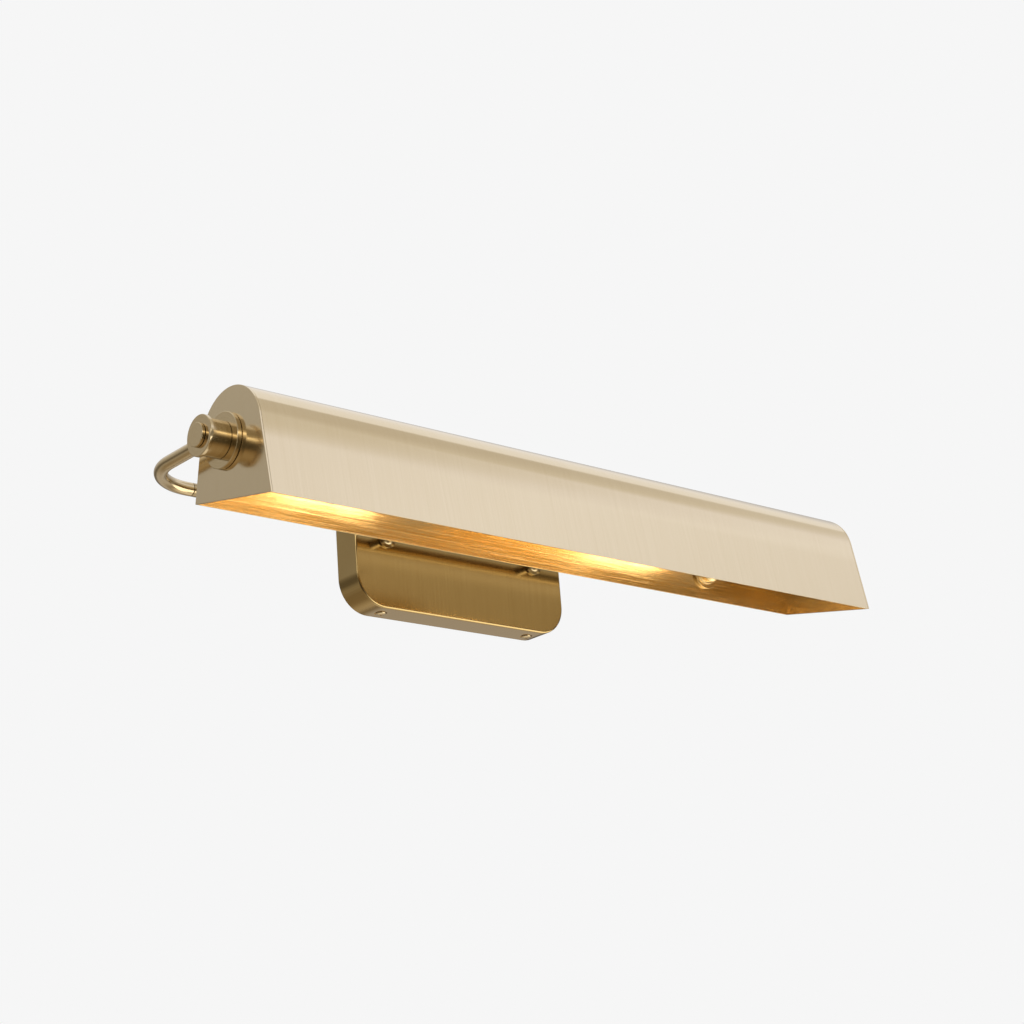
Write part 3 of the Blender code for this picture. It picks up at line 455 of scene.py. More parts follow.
reach = LIP - ARCH_CENTRE
front_angle = math.atan2(reach.z, reach.y) + math.tau - math.acos(ARCH_RADIUS / reach.length)
ARCH_START = ARCH_CENTRE + ARCH_RADIUS * Vector((0, math.cos(front_angle), math.sin(front_angle)))
slope = ARCH_START - LIP
sheet_low, sheet_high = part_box("shade_sheet")
sheet_length = sheet_high.x - sheet_low.x + 2 * END_GAP


def eased(finish, place):
    """A height in metres: the flat front is not dead flat, but eases into the arch over a short way."""
    up_slope = IN_SHADE.to_3x3() @ slope.normalized()
    across_shade = IN_SHADE.to_3x3() @ Y_AXIS

    def distance(direction):
        start = tuple(IN_SHADE @ ARCH_START)
        away = finish.add("ShaderNodeVectorMath", {"operation": "SUBTRACT"}, {0: place, 1: start})
        inputs = {0: away, 1: tuple(direction)}
        return finish.add("ShaderNodeVectorMath", {"operation": "DOT_PRODUCT"}, inputs, 1)

    climbed = distance(up_slope)
    past = distance(across_shade) * 0.99 - EASE
    along = finish.maths("MAXIMUM", climbed, past)
    inputs = {"Value": along, "From Min": -EASE, "From Max": EASE, "To Min": 0.0, "To Max": -EASE_DEPTH}
    return finish.add("ShaderNodeMapRange", {"interpolation_type": "SMOOTHSTEP"}, inputs)


outside_brass = brushed("brass_brushed_round_the_shade", ACROSS_X, 0.07, 0.000006, form=eased)


def near(first, second, reach=0.0004):
    """True where two points share a place in the shade's section, wherever they are along it."""
    return math.hypot(first.y - second.y, first.z - second.z) < reach


def open_sheet(name):
    """The shade's sheet before it has any thickness, its outer side facing out."""
    bpy.ops.object.select_all(action="DESELECT")
    bpy.ops.mesh.primitive_plane_add(size=1)
    piece = named(name)
    piece.scale = (sheet_length, slope.length, 1)
    piece.rotation_euler = (math.atan2(slope.z, slope.y), 0, 0)
    piece.location = (LIP + ARCH_START) / 2
    settle(piece)
    with editing(piece):
        pick(piece, "EDGE", lambda middle, edge: near(middle, ARCH_START))
        bpy.ops.mesh.spin(steps=ARCH_STEPS, angle=front_angle, center=ARCH_CENTRE, axis=X_AXIS)
        back_top = Vector((0, BACK_Y, ARCH_CENTRE.z))
        pick(piece, "EDGE", lambda middle, edge: near(middle, back_top) and abs(middle.x) < SHEET)
        down = {"value": (0, 0, LIP.z - ARCH_CENTRE.z)}
        bpy.ops.mesh.extrude_edges_move(TRANSFORM_OT_translate=down)
        bpy.ops.mesh.select_all(action="SELECT")
        bpy.ops.mesh.remove_doubles(threshold=0.00001)
        bpy.ops.mesh.normals_make_consistent(inside=False)
        turn_outward(piece, lambda middle, face: near(middle, (LIP + ARCH_START) / 2), Y_AXIS)
    return piece


shade_shell = open_sheet("shade_shell")
shade_shell.data.materials.append(outside_brass)
shade_shell.data.materials.append(inside_brass_lamplit)
apply_modifier(shade_shell, "SOLIDIFY", thickness=SHEET, offset=-1, use_even_offset=True,
               material_offset=1)
soften(shade_shell, EDGE_BREAK)
settle(shade_shell, IN_SHADE)
fit(shade_shell, "shade", None, "shade_sheet")


def drill_shade(x, z, radius):
    """A hole through the shade's upright back."""
    drill(shade_shell, radius, 0.006, IN_SHADE @ Vector((x, BACK_Y, z)), IN_SHADE.to_3x3() @ Y_AXIS)


low = Vector(min(v.co[i] for v in shade_shell.data.vertices) for i in range(3))
apart = [round((a - b) * 1000, 2) for a, b in zip(low, sheet_low)]
print("shade sheet starts", apart, "mm from the frame's")

# %% [markdown]
# ## End plates
#
# Each end of the shade is closed by a plate with the same outline as the sheet. It could be drawn again as
# a curve, but then two outlines would have to agree. So the same open sheet is made once more, all of it
# but one end is deleted, and the bare outline that is left is filled and drawn inward by the plate's
# thickness.

# %% End plates
SCREW_WAY = 0.0053          # radius of the hole for the clamp screw


def end_plate(side_name, side):
    low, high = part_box(f"{side_name}_end_cap")
    outer = high.x if side > 0 else low.x
    piece = open_sheet(f"{side_name}_end_plate")
    with editing(piece):
        pick(piece, "VERT", lambda middle, vert: middle.x * side < 0)
        bpy.ops.mesh.delete(type="VERT")
        bpy.ops.mesh.select_all(action="SELECT")
        bpy.ops.mesh.edge_face_add()
        bpy.ops.transform.translate(value=(outer - side * sheet_length / 2, 0, 0))
        inward = {"value": (-side * (high.x - low.x), 0, 0)}
        bpy.ops.mesh.extrude_region_move(TRANSFORM_OT_translate=inward)
        bpy.ops.mesh.select_all(action="SELECT")
        bpy.ops.mesh.normals_make_consistent(inside=False)
    drill(piece, SCREW_WAY, 0.02, (outer, 0, 0), X_AXIS)
    soften(piece, EDGE_BREAK)
    settle(piece, IN_SHADE)
    return fit(piece, "shade", end_brass, f"{side_name}_end_cap")


for side_name, side in SIDES:
    print(end_plate(side_name, side).name)

# %% [markdown]
# ## The pivots
#
# At each end a rose stiffens the plate, a barrel on the arm bears against it, and a disc with a raised
# button draws the two together. They are all turned, so each is a short profile. The barrel is then bored
# from behind for the tube. Two roses could share a mesh, but each keeps its own, so that it can be
# repainted.

# %% Roses, barrels, discs and buttons
WASHER_SEAT = (0.0115, 0.0009)      # its radius and depth, in the barrel's inner face
TUBE_WAY = 0.0055                   # radius of the barrel's hole for the arm
TUBE_STOP = 0.0057                  # from the pivot to that hole's end
SCREW_END = (0.0050, 0.0018)        # radius and depth of the disc's hole for the clamp screw


def plain_ring(outer, inner, height):
    return [(inner, 0), (outer, 0), (outer, height), (inner, height), (inner, 0)]


def size_of(node):
    """(how long the node is along X, its radius round X)."""
    low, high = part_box(node)
    return high.x - low.x, (high.z - low.z) / 2


def on_pivot(piece, node, side):
    """Stands a turned piece on the pivot's axis, from the node's inner face outward."""
    low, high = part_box(node)
    inner = low.x if side > 0 else high.x
    settle(piece, facing((inner, PIVOT.y, PIVOT.z), X_AXIS * side))
    return piece


def pivot_pieces(side_name, side):
    length, radius = size_of(f"{side_name}_rosette")
    rose = turned(f"{side_name}_rose", plain_ring(radius, SCREW_WAY, length), 128)
    soften(on_pivot(rose, f"{side_name}_rosette", side), 0.00045)
    fit(rose, "shade", pivot_brass, f"{side_name}_rosette")

    hub = f"{side_name}_hub"
    length, radius = size_of(hub)
    seat, depth = WASHER_SEAT
    profile = [(SCREW_WAY, depth), (seat, depth), (seat, 0), (radius, 0)]
    profile += [(radius, length), (SCREW_WAY, length), (SCREW_WAY, depth)]
    barrel = turned(f"{side_name}_barrel", profile, 128)
    on_pivot(barrel, hub, side)
    middle = corners_of(hub)[2].x
    drill(barrel, TUBE_WAY, radius, (middle, PIVOT.y + TUBE_STOP + radius / 2, 0), Y_AXIS)
    soften(barrel, 0.0004)
    fit(barrel, "wall_frame", pivot_brass, hub)

    knob = f"{side_name}_clamp_knob"
    length, radius = size_of(knob)
    hole, depth = SCREW_END
    profile = [(hole, depth), (hole, 0), (radius, 0), (radius, length)]
    disc = turned(f"{side_name}_end_disc", profile, 128)
    soften(on_pivot(disc, knob, side), 0.00045)
    fit(disc, f"{side_name}_knob", pivot_brass, knob)

    length, radius = size_of(f"{side_name}_knob_button")
    button = turned(f"{side_name}_button", [(radius, 0), (radius, length)], 96)
    soften(on_pivot(button, f"{side_name}_knob_button", side), 0.00035)
    fit(button, f"{side_name}_knob", pivot_brass, f"{side_name}_knob_button")


for side_name, side in SIDES:
    pivot_pieces(side_name, side)
print("two pivots, four pieces each")

# %% [markdown]
# ## The tube frame
#
# One run of tube holds the shade: an arm back from each barrel, a bend, and a bar behind the shade. A curve
# with a bevel would draw it quickly, but a spun ring gives an even bend with clean rings of faces. The bar
# is its own piece, because the real tube is joined just past each bend, where a fine seam shows.

# %% Arms and rear bar
TUBE_RADIUS = 0.0050
TUBE_WALL = 0.0010
BEND_RADIUS = 0.0400
SEAM_BREAK = 0.0004


def tube_ring(name, centre, facing_way):
    """The open ring of edges that a tube is drawn from."""
    bpy.ops.object.select_all(action="DESELECT")
    bpy.ops.mesh.primitive_circle_add(vertices=48, radius=TUBE_RADIUS)
    piece = named(name)
    settle(piece, facing(centre, facing_way))
    return piece


def give_wall(piece):
    with editing(piece):
        bpy.ops.mesh.select_all(action="SELECT")
        bpy.ops.mesh.remove_doubles(threshold=0.00001)
        bpy.ops.mesh.normals_make_consistent(inside=False)
    apply_modifier(piece, "SOLIDIFY", thickness=TUBE_WALL, offset=-1, use_even_offset=True)
    soften(piece, SEAM_BREAK)


def arm(side_name, side):
    low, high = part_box(f"{side_name}_arm")
    joint_x, outer_x = (low.x, high.x) if side > 0 else (high.x, low.x)
    line_x = outer_x - side * TUBE_RADIUS
    bar_y = high.y - TUBE_RADIUS
    bend = Vector((line_x - side * BEND_RADIUS, bar_y - BEND_RADIUS, 0))
    piece = tube_ring(f"{side_name}_arm_tube", (line_x, low.y, 0), Y_AXIS)
    with editing(piece):
        bpy.ops.mesh.select_mode(type="EDGE")
        bpy.ops.mesh.select_all(action="SELECT")
        straight = {"value": (0, bend.y - low.y, 0)}
        bpy.ops.mesh.extrude_edges_move(TRANSFORM_OT_translate=straight)
        # Without a window the spin turns against its axis, so the axis is reversed
        bpy.ops.mesh.spin(steps=40, angle=math.pi / 2, center=bend, axis=Z_AXIS * -side)
        pick(piece, "EDGE", lambda middle, edge: all(abs(v.co.x - bend.x) < 0.00005 for v in edge.verts))
        bpy.ops.mesh.extrude_edges_move(TRANSFORM_OT_translate={"value": (joint_x - bend.x, 0, 0)})
    give_wall(piece)
    fit(piece, "wall_frame", tube_brass, f"{side_name}_arm")
    print(piece.name, "reaches y", round(max(v.co.y for v in piece.data.vertices) * 1000, 2), "mm")


for side_name, side in SIDES:
    arm(side_name, side)

bar_low, bar_high, bar_middle = corners_of("rear_bar")
BAR_Y = bar_middle.y
back_bar = tube_ring("back_bar", (bar_low.x, BAR_Y, 0), X_AXIS)
with editing(back_bar):
    bpy.ops.mesh.select_mode(type="EDGE")
    bpy.ops.mesh.select_all(action="SELECT")
    bpy.ops.mesh.extrude_edges_move(TRANSFORM_OT_translate={"value": (bar_high.x - bar_low.x, 0, 0)})
give_wall(back_bar)
fit(back_bar, "wall_frame", bar_brass_painted_shade, "rear_bar")

# %% [markdown]
# ## The backplate
#
# A shallow tray, pressed from one sheet. A rounded cube would round the wrong edges, so it starts as a flat
# plane: its four corners are bevelled into wide arcs, the outline is drawn back to the wall, and the front
# edge gets a small fillet. That fillet is what draws the bright line round the front in any light.

# %% Backplate
PLATE_CORNER = 0.0260
PLATE_FILLET = 0.0018
PLATE_WALL = 0.0015
plate_low, plate_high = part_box("backplate")
plate_size = plate_high - plate_low

bpy.ops.object.select_all(action="DESELECT")
bpy.ops.mesh.primitive_plane_add(size=1)
tray = named("wall_tray")
tray.scale = (plate_size.x, plate_size.z, 1)
tray.rotation_euler = (math.pi / 2, 0, 0)
tray.location = (0, plate_low.y, 0)
settle(tray)
with editing(tray):
    pick(tray, "VERT", lambda middle, vert: True)
    bpy.ops.mesh.bevel(offset=PLATE_CORNER, offset_type="OFFSET", segments=20, affect="VERTICES")
    bpy.ops.mesh.select_mode(type="EDGE")
    bpy.ops.mesh.select_all(action="SELECT")
    bpy.ops.mesh.extrude_edges_move(TRANSFORM_OT_translate={"value": (0, plate_size.y, 0)})
    bpy.ops.mesh.select_all(action="SELECT")
    bpy.ops.mesh.normals_make_consistent(inside=False)
    pick(tray, "EDGE", lambda middle, edge: all(abs(v.co.y - plate_low.y) < 0.00001 for v in edge.verts))
    bpy.ops.mesh.bevel(offset=PLATE_FILLET, offset_type="OFFSET", segments=5, profile=0.5, affect="EDGES")
    turn_outward(tray, lambda middle, face: abs(middle.y - plate_low.y) < 0.00001, Y_AXIS)
apply_modifier(tray, "SOLIDIFY", thickness=PLATE_WALL, offset=-1, use_even_offset=True)

HEAD_SEAT_RADIUS = 0.0050
HEAD_SEAT_DEPTH = 0.0006
SIDE_SHANK = 0.0019
STUD_RADIUS = 0.0030
side_screws = [f"{level}_{side_name}_side_screw" for level in ("bottom", "top") for side_name, _ in SIDES]
for node in side_screws:
    middle = corners_of(node)[2]
    wall = plate_high.z if middle.z > 0 else -plate_high.z
    drill(tray, HEAD_SEAT_RADIUS, HEAD_SEAT_DEPTH * 2, (middle.x, middle.y, wall), Z_AXIS)
    drill(tray, SIDE_SHANK + 0.0005, PLATE_WALL * 4, (middle.x, middle.y, wall), Z_AXIS)
for side_name, _ in SIDES:
    x = corners_of(f"{side_name}_post")[2].x
    drill(tray, STUD_RADIUS + 0.0005, PLATE_WALL * 4, (x, plate_low.y, 0), Y_AXIS)
soften(tray, 0.0002)
fit(tray, "wall_frame", plate_brass_painted_shade, "backplate")
print("tray faces:", len(tray.data.polygons))

# %% [markdown]
# ## Posts and side screws
#
# A post stands on the tray and saddles the bar. It is a turned stem with a foot and a soft cove between
# them, cut at its end by the bar's own shape. The side screws have low domed heads with a hex recess.

# %% Posts and screws
HEX_RECESS = (0.0013, 0.0016)       # its radius, and twice its depth


def post(side_name):
    node = f"{side_name}_post"
    low, high, middle = corners_of(node)
    x = middle.x
    foot = plate_low.y - 0.0003
    stem, bore, foot_radius, cove = 0.0045, 0.0014, 0.0085, 0.0022
    length = foot - BAR_Y
    stud = foot - high.y
    edge = 0.0012
    profile = [(bore, stud), (STUD_RADIUS, stud), (STUD_RADIUS, 0), (foot_radius, 0), (foot_radius, edge)]
    profile += arc((stem + cove, edge + cove + 0.0004), cove, 270, 180, 8)
    profile += [(stem, length), (bore, length), (bore, stud)]
    piece = turned(f"{side_name}_standoff", profile, 64)
    settle(piece, facing((x, foot, 0), -Y_AXIS))
    drill(piece, TUBE_RADIUS + 0.0003, 0.03, (x, BAR_Y, 0), X_AXIS)
    soften(piece, 0.0002)
    # The post takes the bar's darker brass: painted shade
    shaded = turned_brass(f"brass_{side_name}_standoff", (x, 0, 0), "Y", pale=BAR_PAINTED_SHADE_PALE, deep=BAR_PAINTED_SHADE_DEEP)
    fit(piece, "wall_frame", shaded, node)


def side_screw(node):
    low, high, middle = corners_of(node)
    up = 1 if middle.z > 0 else -1
    head, edge = 0.0041, 0.0005
    face = plate_high.z + 0.0003 - HEAD_SEAT_DEPTH
    crown = max(abs(low.z), abs(high.z)) - face
    shank = face - min(abs(low.z), abs(high.z))
    dome = [(head * math.cos(t), edge + (crown - edge) * math.sin(t))
            for t in (math.pi / 2 * i / 10 for i in range(10))]
    profile = [(SIDE_SHANK, -shank), (SIDE_SHANK, 0), (head, 0), *dome]
    piece = turned(node.replace("_side", ""), profile, 48)
    drill(piece, *HEX_RECESS, (0, 0, crown), Z_AXIS, 6)
    settle(piece, facing((middle.x, middle.y, up * face), Z_AXIS * up))
    soften(piece, 0.00012)
    centre = (middle.x, middle.y, 0)
    fit(piece, "wall_frame", turned_brass(f"brass_{piece.name}", centre, "Z", 0.2), node)


for side_name, _ in SIDES:
    post(side_name)
for node in side_screws:
    side_screw(node)
print("posts and", len(side_screws), "side screws")

# %% [markdown]
# ## Other finishes
#
# Zinc-plated steel for the parts that do the holding, a cream moulding for the lampholders, woven ivory
# cable, dark fibre washers, and frosted glass that glows. Each varies a little in colour and polish,
# because nothing that is moulded, plated or woven is even.

# %% Steel, moulding, fibre, cable and glass
THREADS = 5200.0                    # radians per metre of cable
LAMP_GLOW = (1.0, 0.80, 0.52, 1)
LAMP_DIM = (0.10, 0.06, 0.025, 1)
LAMP_STRENGTH = 7.0
LAMP_BASE = (0.024, 0.027)          # from the holder's mouth: where the glow starts
LAMP_SUPPORT = 0.064                # where a support crosses it
SUPPORT_EDGE = (0.0045, 0.0060)     # from the middle of the support to its dark edge and to full glow
LAMP_FADE = (0.088, 0.112)          # where it fades


def plated_steel():
    finish = Finish("plated_steel", Metallic=1.0)
    place = finish.place()
    cloud = finish.noise(place, 60.0, 4.0)
    grain = finish.noise(place, 1400.0, 2.0)
    tone = finish.clamp(cloud * 0.7 + grain * 0.3, 0.36, 0.64, 0.0, 1.0)
    finish.feed("Base Color", finish.blend(tone, (0.50, 0.49, 0.46, 1), (0.68, 0.67, 0.64, 1)))
    finish.feed("Roughness", (cloud - 0.5) * 0.25 + (grain - 0.5) * 0.1 + 0.34)
    finish.bump(grain, 0.00002)
    return finish.material


def moulding(name, pale, dark, roughness):
    """A moulded or ceramic surface, slightly mottled and pitted."""
    finish = Finish(name, IOR=1.5)
    place = finish.place()
    mottle = finish.noise(place, 90.0, 3.0)
    pits = finish.noise(place, 2200.0, 2.0)
    finish.feed("Base Color", finish.blend(finish.clamp(mottle, 0.35, 0.65, 0.0, 1.0), dark, pale))
    finish.feed("Roughness", (pits - 0.5) * 0.2 + (mottle - 0.5) * 0.15 + roughness)
    finish.bump(pits + mottle * 0.5, 0.00003)
    return finish.material


def woven_cable():
    """A braid: two sets of fine diagonal threads, one crossing the other."""
    finish = Finish("ivory_cable", Roughness=0.7)
    place = finish.place()
    threads = []
    for lean in (1, -1):
        inputs = {0: place, 1: (1, lean, lean)}
        parts = finish.add("ShaderNodeVectorMath", {"operation": "DOT_PRODUCT"}, inputs, 1)
        threads.append(finish.add("ShaderNodeMath", {"operation": "SINE"}, {0: parts * THREADS}))
    weave = threads[0] * threads[1] * 0.5 + 0.5
    finish.feed("Base Color", finish.blend(weave, (0.52, 0.46, 0.34, 1), (0.80, 0.75, 0.62, 1)))
    finish.bump(weave, 0.00012)
    return finish.material


def lit_glass(name, mouth):
    """Frosted glass round two lit lengths: dark at the base and at the support between them."""
    finish = Finish(name, Roughness=0.35, IOR=1.5, Emission_Strength=LAMP_STRENGTH)
    place = finish.place()
    frost = finish.noise(place, 700.0, 2.0)
    finish.feed("Base Color", finish.blend(frost, (0.80, 0.77, 0.70, 1), (0.88, 0.85, 0.78, 1)))
    along = finish.add("ShaderNodeSeparateXYZ", {}, {"Vector": place})
    from_base = finish.maths("SUBTRACT", mouth, along)
    lit = finish.clamp(from_base, *LAMP_BASE, 0.0, 1.0) * finish.clamp(from_base, *LAMP_FADE, 1.0, 0.12)
    support = finish.maths("ABSOLUTE", from_base - LAMP_SUPPORT, 0.0)
    lit = lit * finish.clamp(support, *SUPPORT_EDGE, 0.03, 1.0)
    finish.feed("Emission Color", finish.blend(lit, LAMP_DIM, LAMP_GLOW))
    finish.bump(frost, 0.00001)
    return finish.material


steel = plated_steel()
cream = moulding("cream_moulding", (0.80, 0.75, 0.64, 1), (0.72, 0.66, 0.54, 1), 0.38)
dark_fibre = moulding("dark_fibre", (0.060, 0.045, 0.035, 1), (0.030, 0.024, 0.020, 1), 0.62)
cable = woven_cable()
print("finishes so far:", len(bpy.data.materials))

# %% [markdown]
# ## Lamps and their holders
#
# Two tubular lamps lie along the shade, each in a holder on an angle of strip. The glass is turned as an
# open skin and then given its wall, so that it is hollow as real glass is. The holder's ribs are there for
# the fingers that unscrew its ring. All of it is made level, on the lamps' own axis, and tilted with the
# shade.

# %% Lamps, holders, angles and rivets
LAMP_AXIS = Vector((0, -0.0040, -0.0040))
LAMP_RADIUS = 0.0125
LAMP_LENGTH = 0.1120
LAMP_NECK = 0.0068
LAMP_SHOULDER = 0.0120
GLASS_WALL = 0.0008
HOLDER_LENGTH = 0.0500
STRIP = 0.0015
STRIP_HEIGHT = 0.0180
STRIP_FOOT = 0.0240
RIVET_WAY = 0.0018          # radius of the holes for the rivets
NIPPLE_WAY = 0.0051         # and of the strip's hole for the holder's nipple
AIR = 0.0003                # between parts that are fitted together
INNER_WALL = BACK_Y - SHEET - AIR


def lamp(side_name, mouth):
    rim, rim_height = LAMP_NECK + 0.0004, 0.0015
    profile = [(LAMP_NECK, 0), (rim, rim_height)]
    profile += [(rim + (LAMP_RADIUS - rim) * (1 - math.cos(t)) / 2,
                 rim_height + (LAMP_SHOULDER - rim_height) * t / math.pi)
                for t in (math.pi * i / 12 for i in range(1, 13))]
    profile += arc((0, LAMP_LENGTH - LAMP_RADIUS), LAMP_RADIUS, 0, 88, 16)
    piece = turned(f"{side_name}_lamp_tube", profile, 64)
    with editing(piece):
        pick(piece, "FACE", lambda middle, face: len(face.verts) > 4 and middle.z < 0.001)
        bpy.ops.mesh.delete(type="FACE")
    apply_modifier(piece, "SOLIDIFY", thickness=GLASS_WALL, offset=-1)
    soften(piece, 0.00015)
    settle(piece, IN_SHADE @ facing(LAMP_AXIS + X_AXIS * (mouth - AIR / 2), -X_AXIS))
    glow = lit_glass(f"lit_glass_{side_name}", mouth)
    fit(piece, "shade", glow, f"{side_name}_lamp_glass", slot="lit_glass")


def holder(side_name, mouth):
    nipple, wire_way, cup, groove, rim, bore = 0.0048, 0.0022, 0.0140, 0.0134, 0.0158, 0.0085
    profile = [(wire_way, -0.0100), (nipple, -0.0100), (nipple, 0), (0.0112, 0), (cup, 0.0060)]
    for i in range(5):
        rib = 0.0110 + i * 0.0048
        profile += [(cup, rib), (groove, rib + 0.0004), (groove, rib + 0.0016), (cup, rib + 0.0020)]
    profile += [(cup, 0.0442), (rim, 0.0460), (rim, HOLDER_LENGTH), (bore, HOLDER_LENGTH), (bore, 0.0120)]
    profile += [(wire_way, 0.0120), (wire_way, -0.0100)]
    piece = turned(f"{side_name}_holder_cup", profile, 72)
    soften(piece, 0.0003)
    settle(piece, IN_SHADE @ facing(LAMP_AXIS + X_AXIS * (mouth + HOLDER_LENGTH), -X_AXIS))
    fit(piece, "shade", cream, f"{side_name}_lampholder", slot="cream_moulding")


def angle_strip(side_name, face, wall):
    """One leg behind the holder, the other along the shade's back."""
    near_edge = LAMP_AXIS.y - 0.0120
    bpy.ops.object.select_all(action="DESELECT")
    bpy.ops.mesh.primitive_plane_add(size=1)
    piece = named(f"{side_name}_angle_strip")
    piece.scale = (STRIP_HEIGHT, wall - near_edge, 1)
    piece.rotation_euler = (0, math.pi / 2, 0)
    piece.location = (face, (wall + near_edge) / 2, LAMP_AXIS.z)
    settle(piece)
    with editing(piece):
        pick(piece, "EDGE", lambda middle, edge: abs(middle.y - wall) < 0.0001)
        foot = {"value": (STRIP_FOOT + STRIP, 0, 0)}
        bpy.ops.mesh.extrude_edges_move(TRANSFORM_OT_translate=foot)
        bpy.ops.mesh.select_all(action="SELECT")
        bpy.ops.mesh.normals_make_consistent(inside=False)
        turn_outward(piece, lambda middle, item: abs(middle.x - face) < 0.0001, X_AXIS)
    apply_modifier(piece, "SOLIDIFY", thickness=STRIP, offset=-1, use_even_offset=True)
    drill(piece, NIPPLE_WAY, 0.01, (face, LAMP_AXIS.y, LAMP_AXIS.z), X_AXIS)
    for x in rivet_places(face):
        drill(piece, RIVET_WAY, 0.01, (x, wall, LAMP_AXIS.z), Y_AXIS)
    soften(piece, 0.00025)
    settle(piece, IN_SHADE)
    fit(piece, "shade", steel, f"{side_name}_bracket", slot="plated_steel")


def rivet_places(face):
    middle = face + STRIP + STRIP_FOOT / 2
    return (middle - 0.0060, middle + 0.0060)


def rivet(side_name, place_name, x):
    through = SHEET + AIR + STRIP + 2 * AIR
    radius, set_end, shank = 0.0030, 0.0024, 0.0015
    head = [(radius * math.cos(t), 0.0012 * math.sin(t)) for t in (math.pi / 2 * i / 8 for i in range(8))]
    profile = [(set_end, -through - 0.0006), (set_end, -through), (shank, -through), (shank, 0), *head]
    piece = turned(f"{side_name}_{place_name}_rivet_head", profile, 40)
    soften(piece, 0.0001)
    settle(piece, IN_SHADE @ facing((x, BACK_Y + AIR, LAMP_AXIS.z), Y_AXIS))
    fit(piece, "shade", outside_brass, f"{side_name}_{place_name}_rivet")


for side_name, mouth in (("left", -0.1080), ("right", 0.1920)):
    lamp(side_name, mouth)
    holder(side_name, mouth)
    strip_face = mouth + HOLDER_LENGTH + AIR
    angle_strip(side_name, strip_face, INNER_WALL)
    for place_name, x in zip(("inner", "outer"), rivet_places(strip_face)):
        rivet(side_name, place_name, x)
    for x in rivet_places(strip_face):
        drill_shade(x, LAMP_AXIS.z, RIVET_WAY)
print("lamps ready")

# %% [markdown]
# ## The switch
#
# A rotary switch sits in the back wall. Inside, a stepped flange shows as two rings. Outside, a nut holds
# it and a small knob turns it. The knob's grip is real knurling, cut as narrow flutes, because a bump would
# leave its outline perfectly round.

# %% Switch
SWITCH_AT = Vector((0.1975, 0, -0.0165))
SWITCH_WAY = 0.0048         # radius of the shade's hole for it, and of the knob's bore
STEM = (0.0045, 0.0060)     # its radius, and how far it stands out
RING, STEP = -0.0020, -0.0012
flange = [STEM, (STEM[0], 0), (0.0150, 0), (0.0150, RING), (0.0132, RING), (0.0127, STEP), (0.0113, STEP),
          (0.0108, RING), (0.0095, RING), (0.0095, -0.0065), (0.0067, -0.0085)]
switch_plate = turned("switch_plate", flange, 96)
soften(switch_plate, 0.0002)
settle(switch_plate, IN_SHADE @ facing((SWITCH_AT.x, INNER_WALL, SWITCH_AT.z), Y_AXIS))
# The switch plate takes the inside's lamp-tinted brass: painted light
fit(switch_plate, "shade", inside_brass_lamplit, "switch_body")
drill_shade(SWITCH_AT.x, SWITCH_AT.z, SWITCH_WAY)

NUT = 0.0020
KNOB_BASE = BACK_Y + NUT + 2 * AIR
bore_depth = INNER_WALL + STEM[1] - KNOB_BASE + AIR
HOLE_BREAK = 0.00001        # just enough to shade the shade's new holes
FLUTES = 36
GRIP = 0.0080
profile = [(SWITCH_WAY, bore_depth), (SWITCH_WAY, 0), (0.0074, 0)]
profile += [(GRIP, 0.0006), (GRIP, 0.0100), (0.0070, 0.0110)]
grip = turned("switch_finger_knob", profile, FLUTES * 2)
with editing(grip):

    def every_second(middle, face):
        on_side = abs(face.normal.z) < 0.1 and math.hypot(middle.x, middle.y) > 0.0077
        turn = round(math.atan2(middle.y, middle.x) / math.tau * FLUTES * 2 - 0.5)
        return on_side and turn % 2 == 0

    pick(grip, "FACE", every_second)
    bpy.ops.mesh.inset(thickness=0.00006, depth=-0.00035, use_individual=True)
soften(grip, 0.00008)
settle(grip, IN_SHADE @ facing((SWITCH_AT.x, KNOB_BASE, SWITCH_AT.z), Y_AXIS))
fit(grip, "switch_knob", outside_brass, "switch_knob")
soften(shade_shell, HOLE_BREAK)
print("switch knob faces:", len(grip.data.polygons))

# %% [markdown]
# ## Small parts
#
# Nuts, washers, sleeves, cables and the mounting channel are already the right shape in the frame, and most
# of them are behind something. Rebuilding them would add work and nothing to see, so they only get their
# finish.

# %% Finishes for the small parts
cap_brass = turned_brass("brass_lamp_caps", PIVOT + LAMP_AXIS, "X", 0.3)
SMALL_PARTS = (
    ("friction_washer", dark_fibre), ("lead_clip", cream), ("terminal_block", cream), ("lead", cable),
    ("lamp_cap", cap_brass), ("earth_screw", cap_brass),
)
for name, node in sorted(frame["nodes"].items()):
    if node.hide_render:
        continue
    matches = [material for ending, material in SMALL_PARTS if name.endswith(ending)]
    node.data.materials.clear()
    node.data.materials.append(matches[0] if matches else steel)
    print(f"{name}: {node.data.materials[0].name}")

# %% [markdown]
# ## Studio
#
# Polished metal shows the room more than itself, so the room is the lighting. Spot lamps would leave hard
# spots in the brass. Instead the world is painted as a studio is built, in four quarters. The front right
# has a soft bright wall above the horizon and a bright strip below it. The front left is dim, with one
# narrow bright band. Behind it is pale high up and darker near the horizon.
#
# What the camera sees behind the light is plain and pale, and the floor stays out of the metal's
# reflections.

# %% World
BACKDROP = (0.922, 0.922, 0.922, 1)


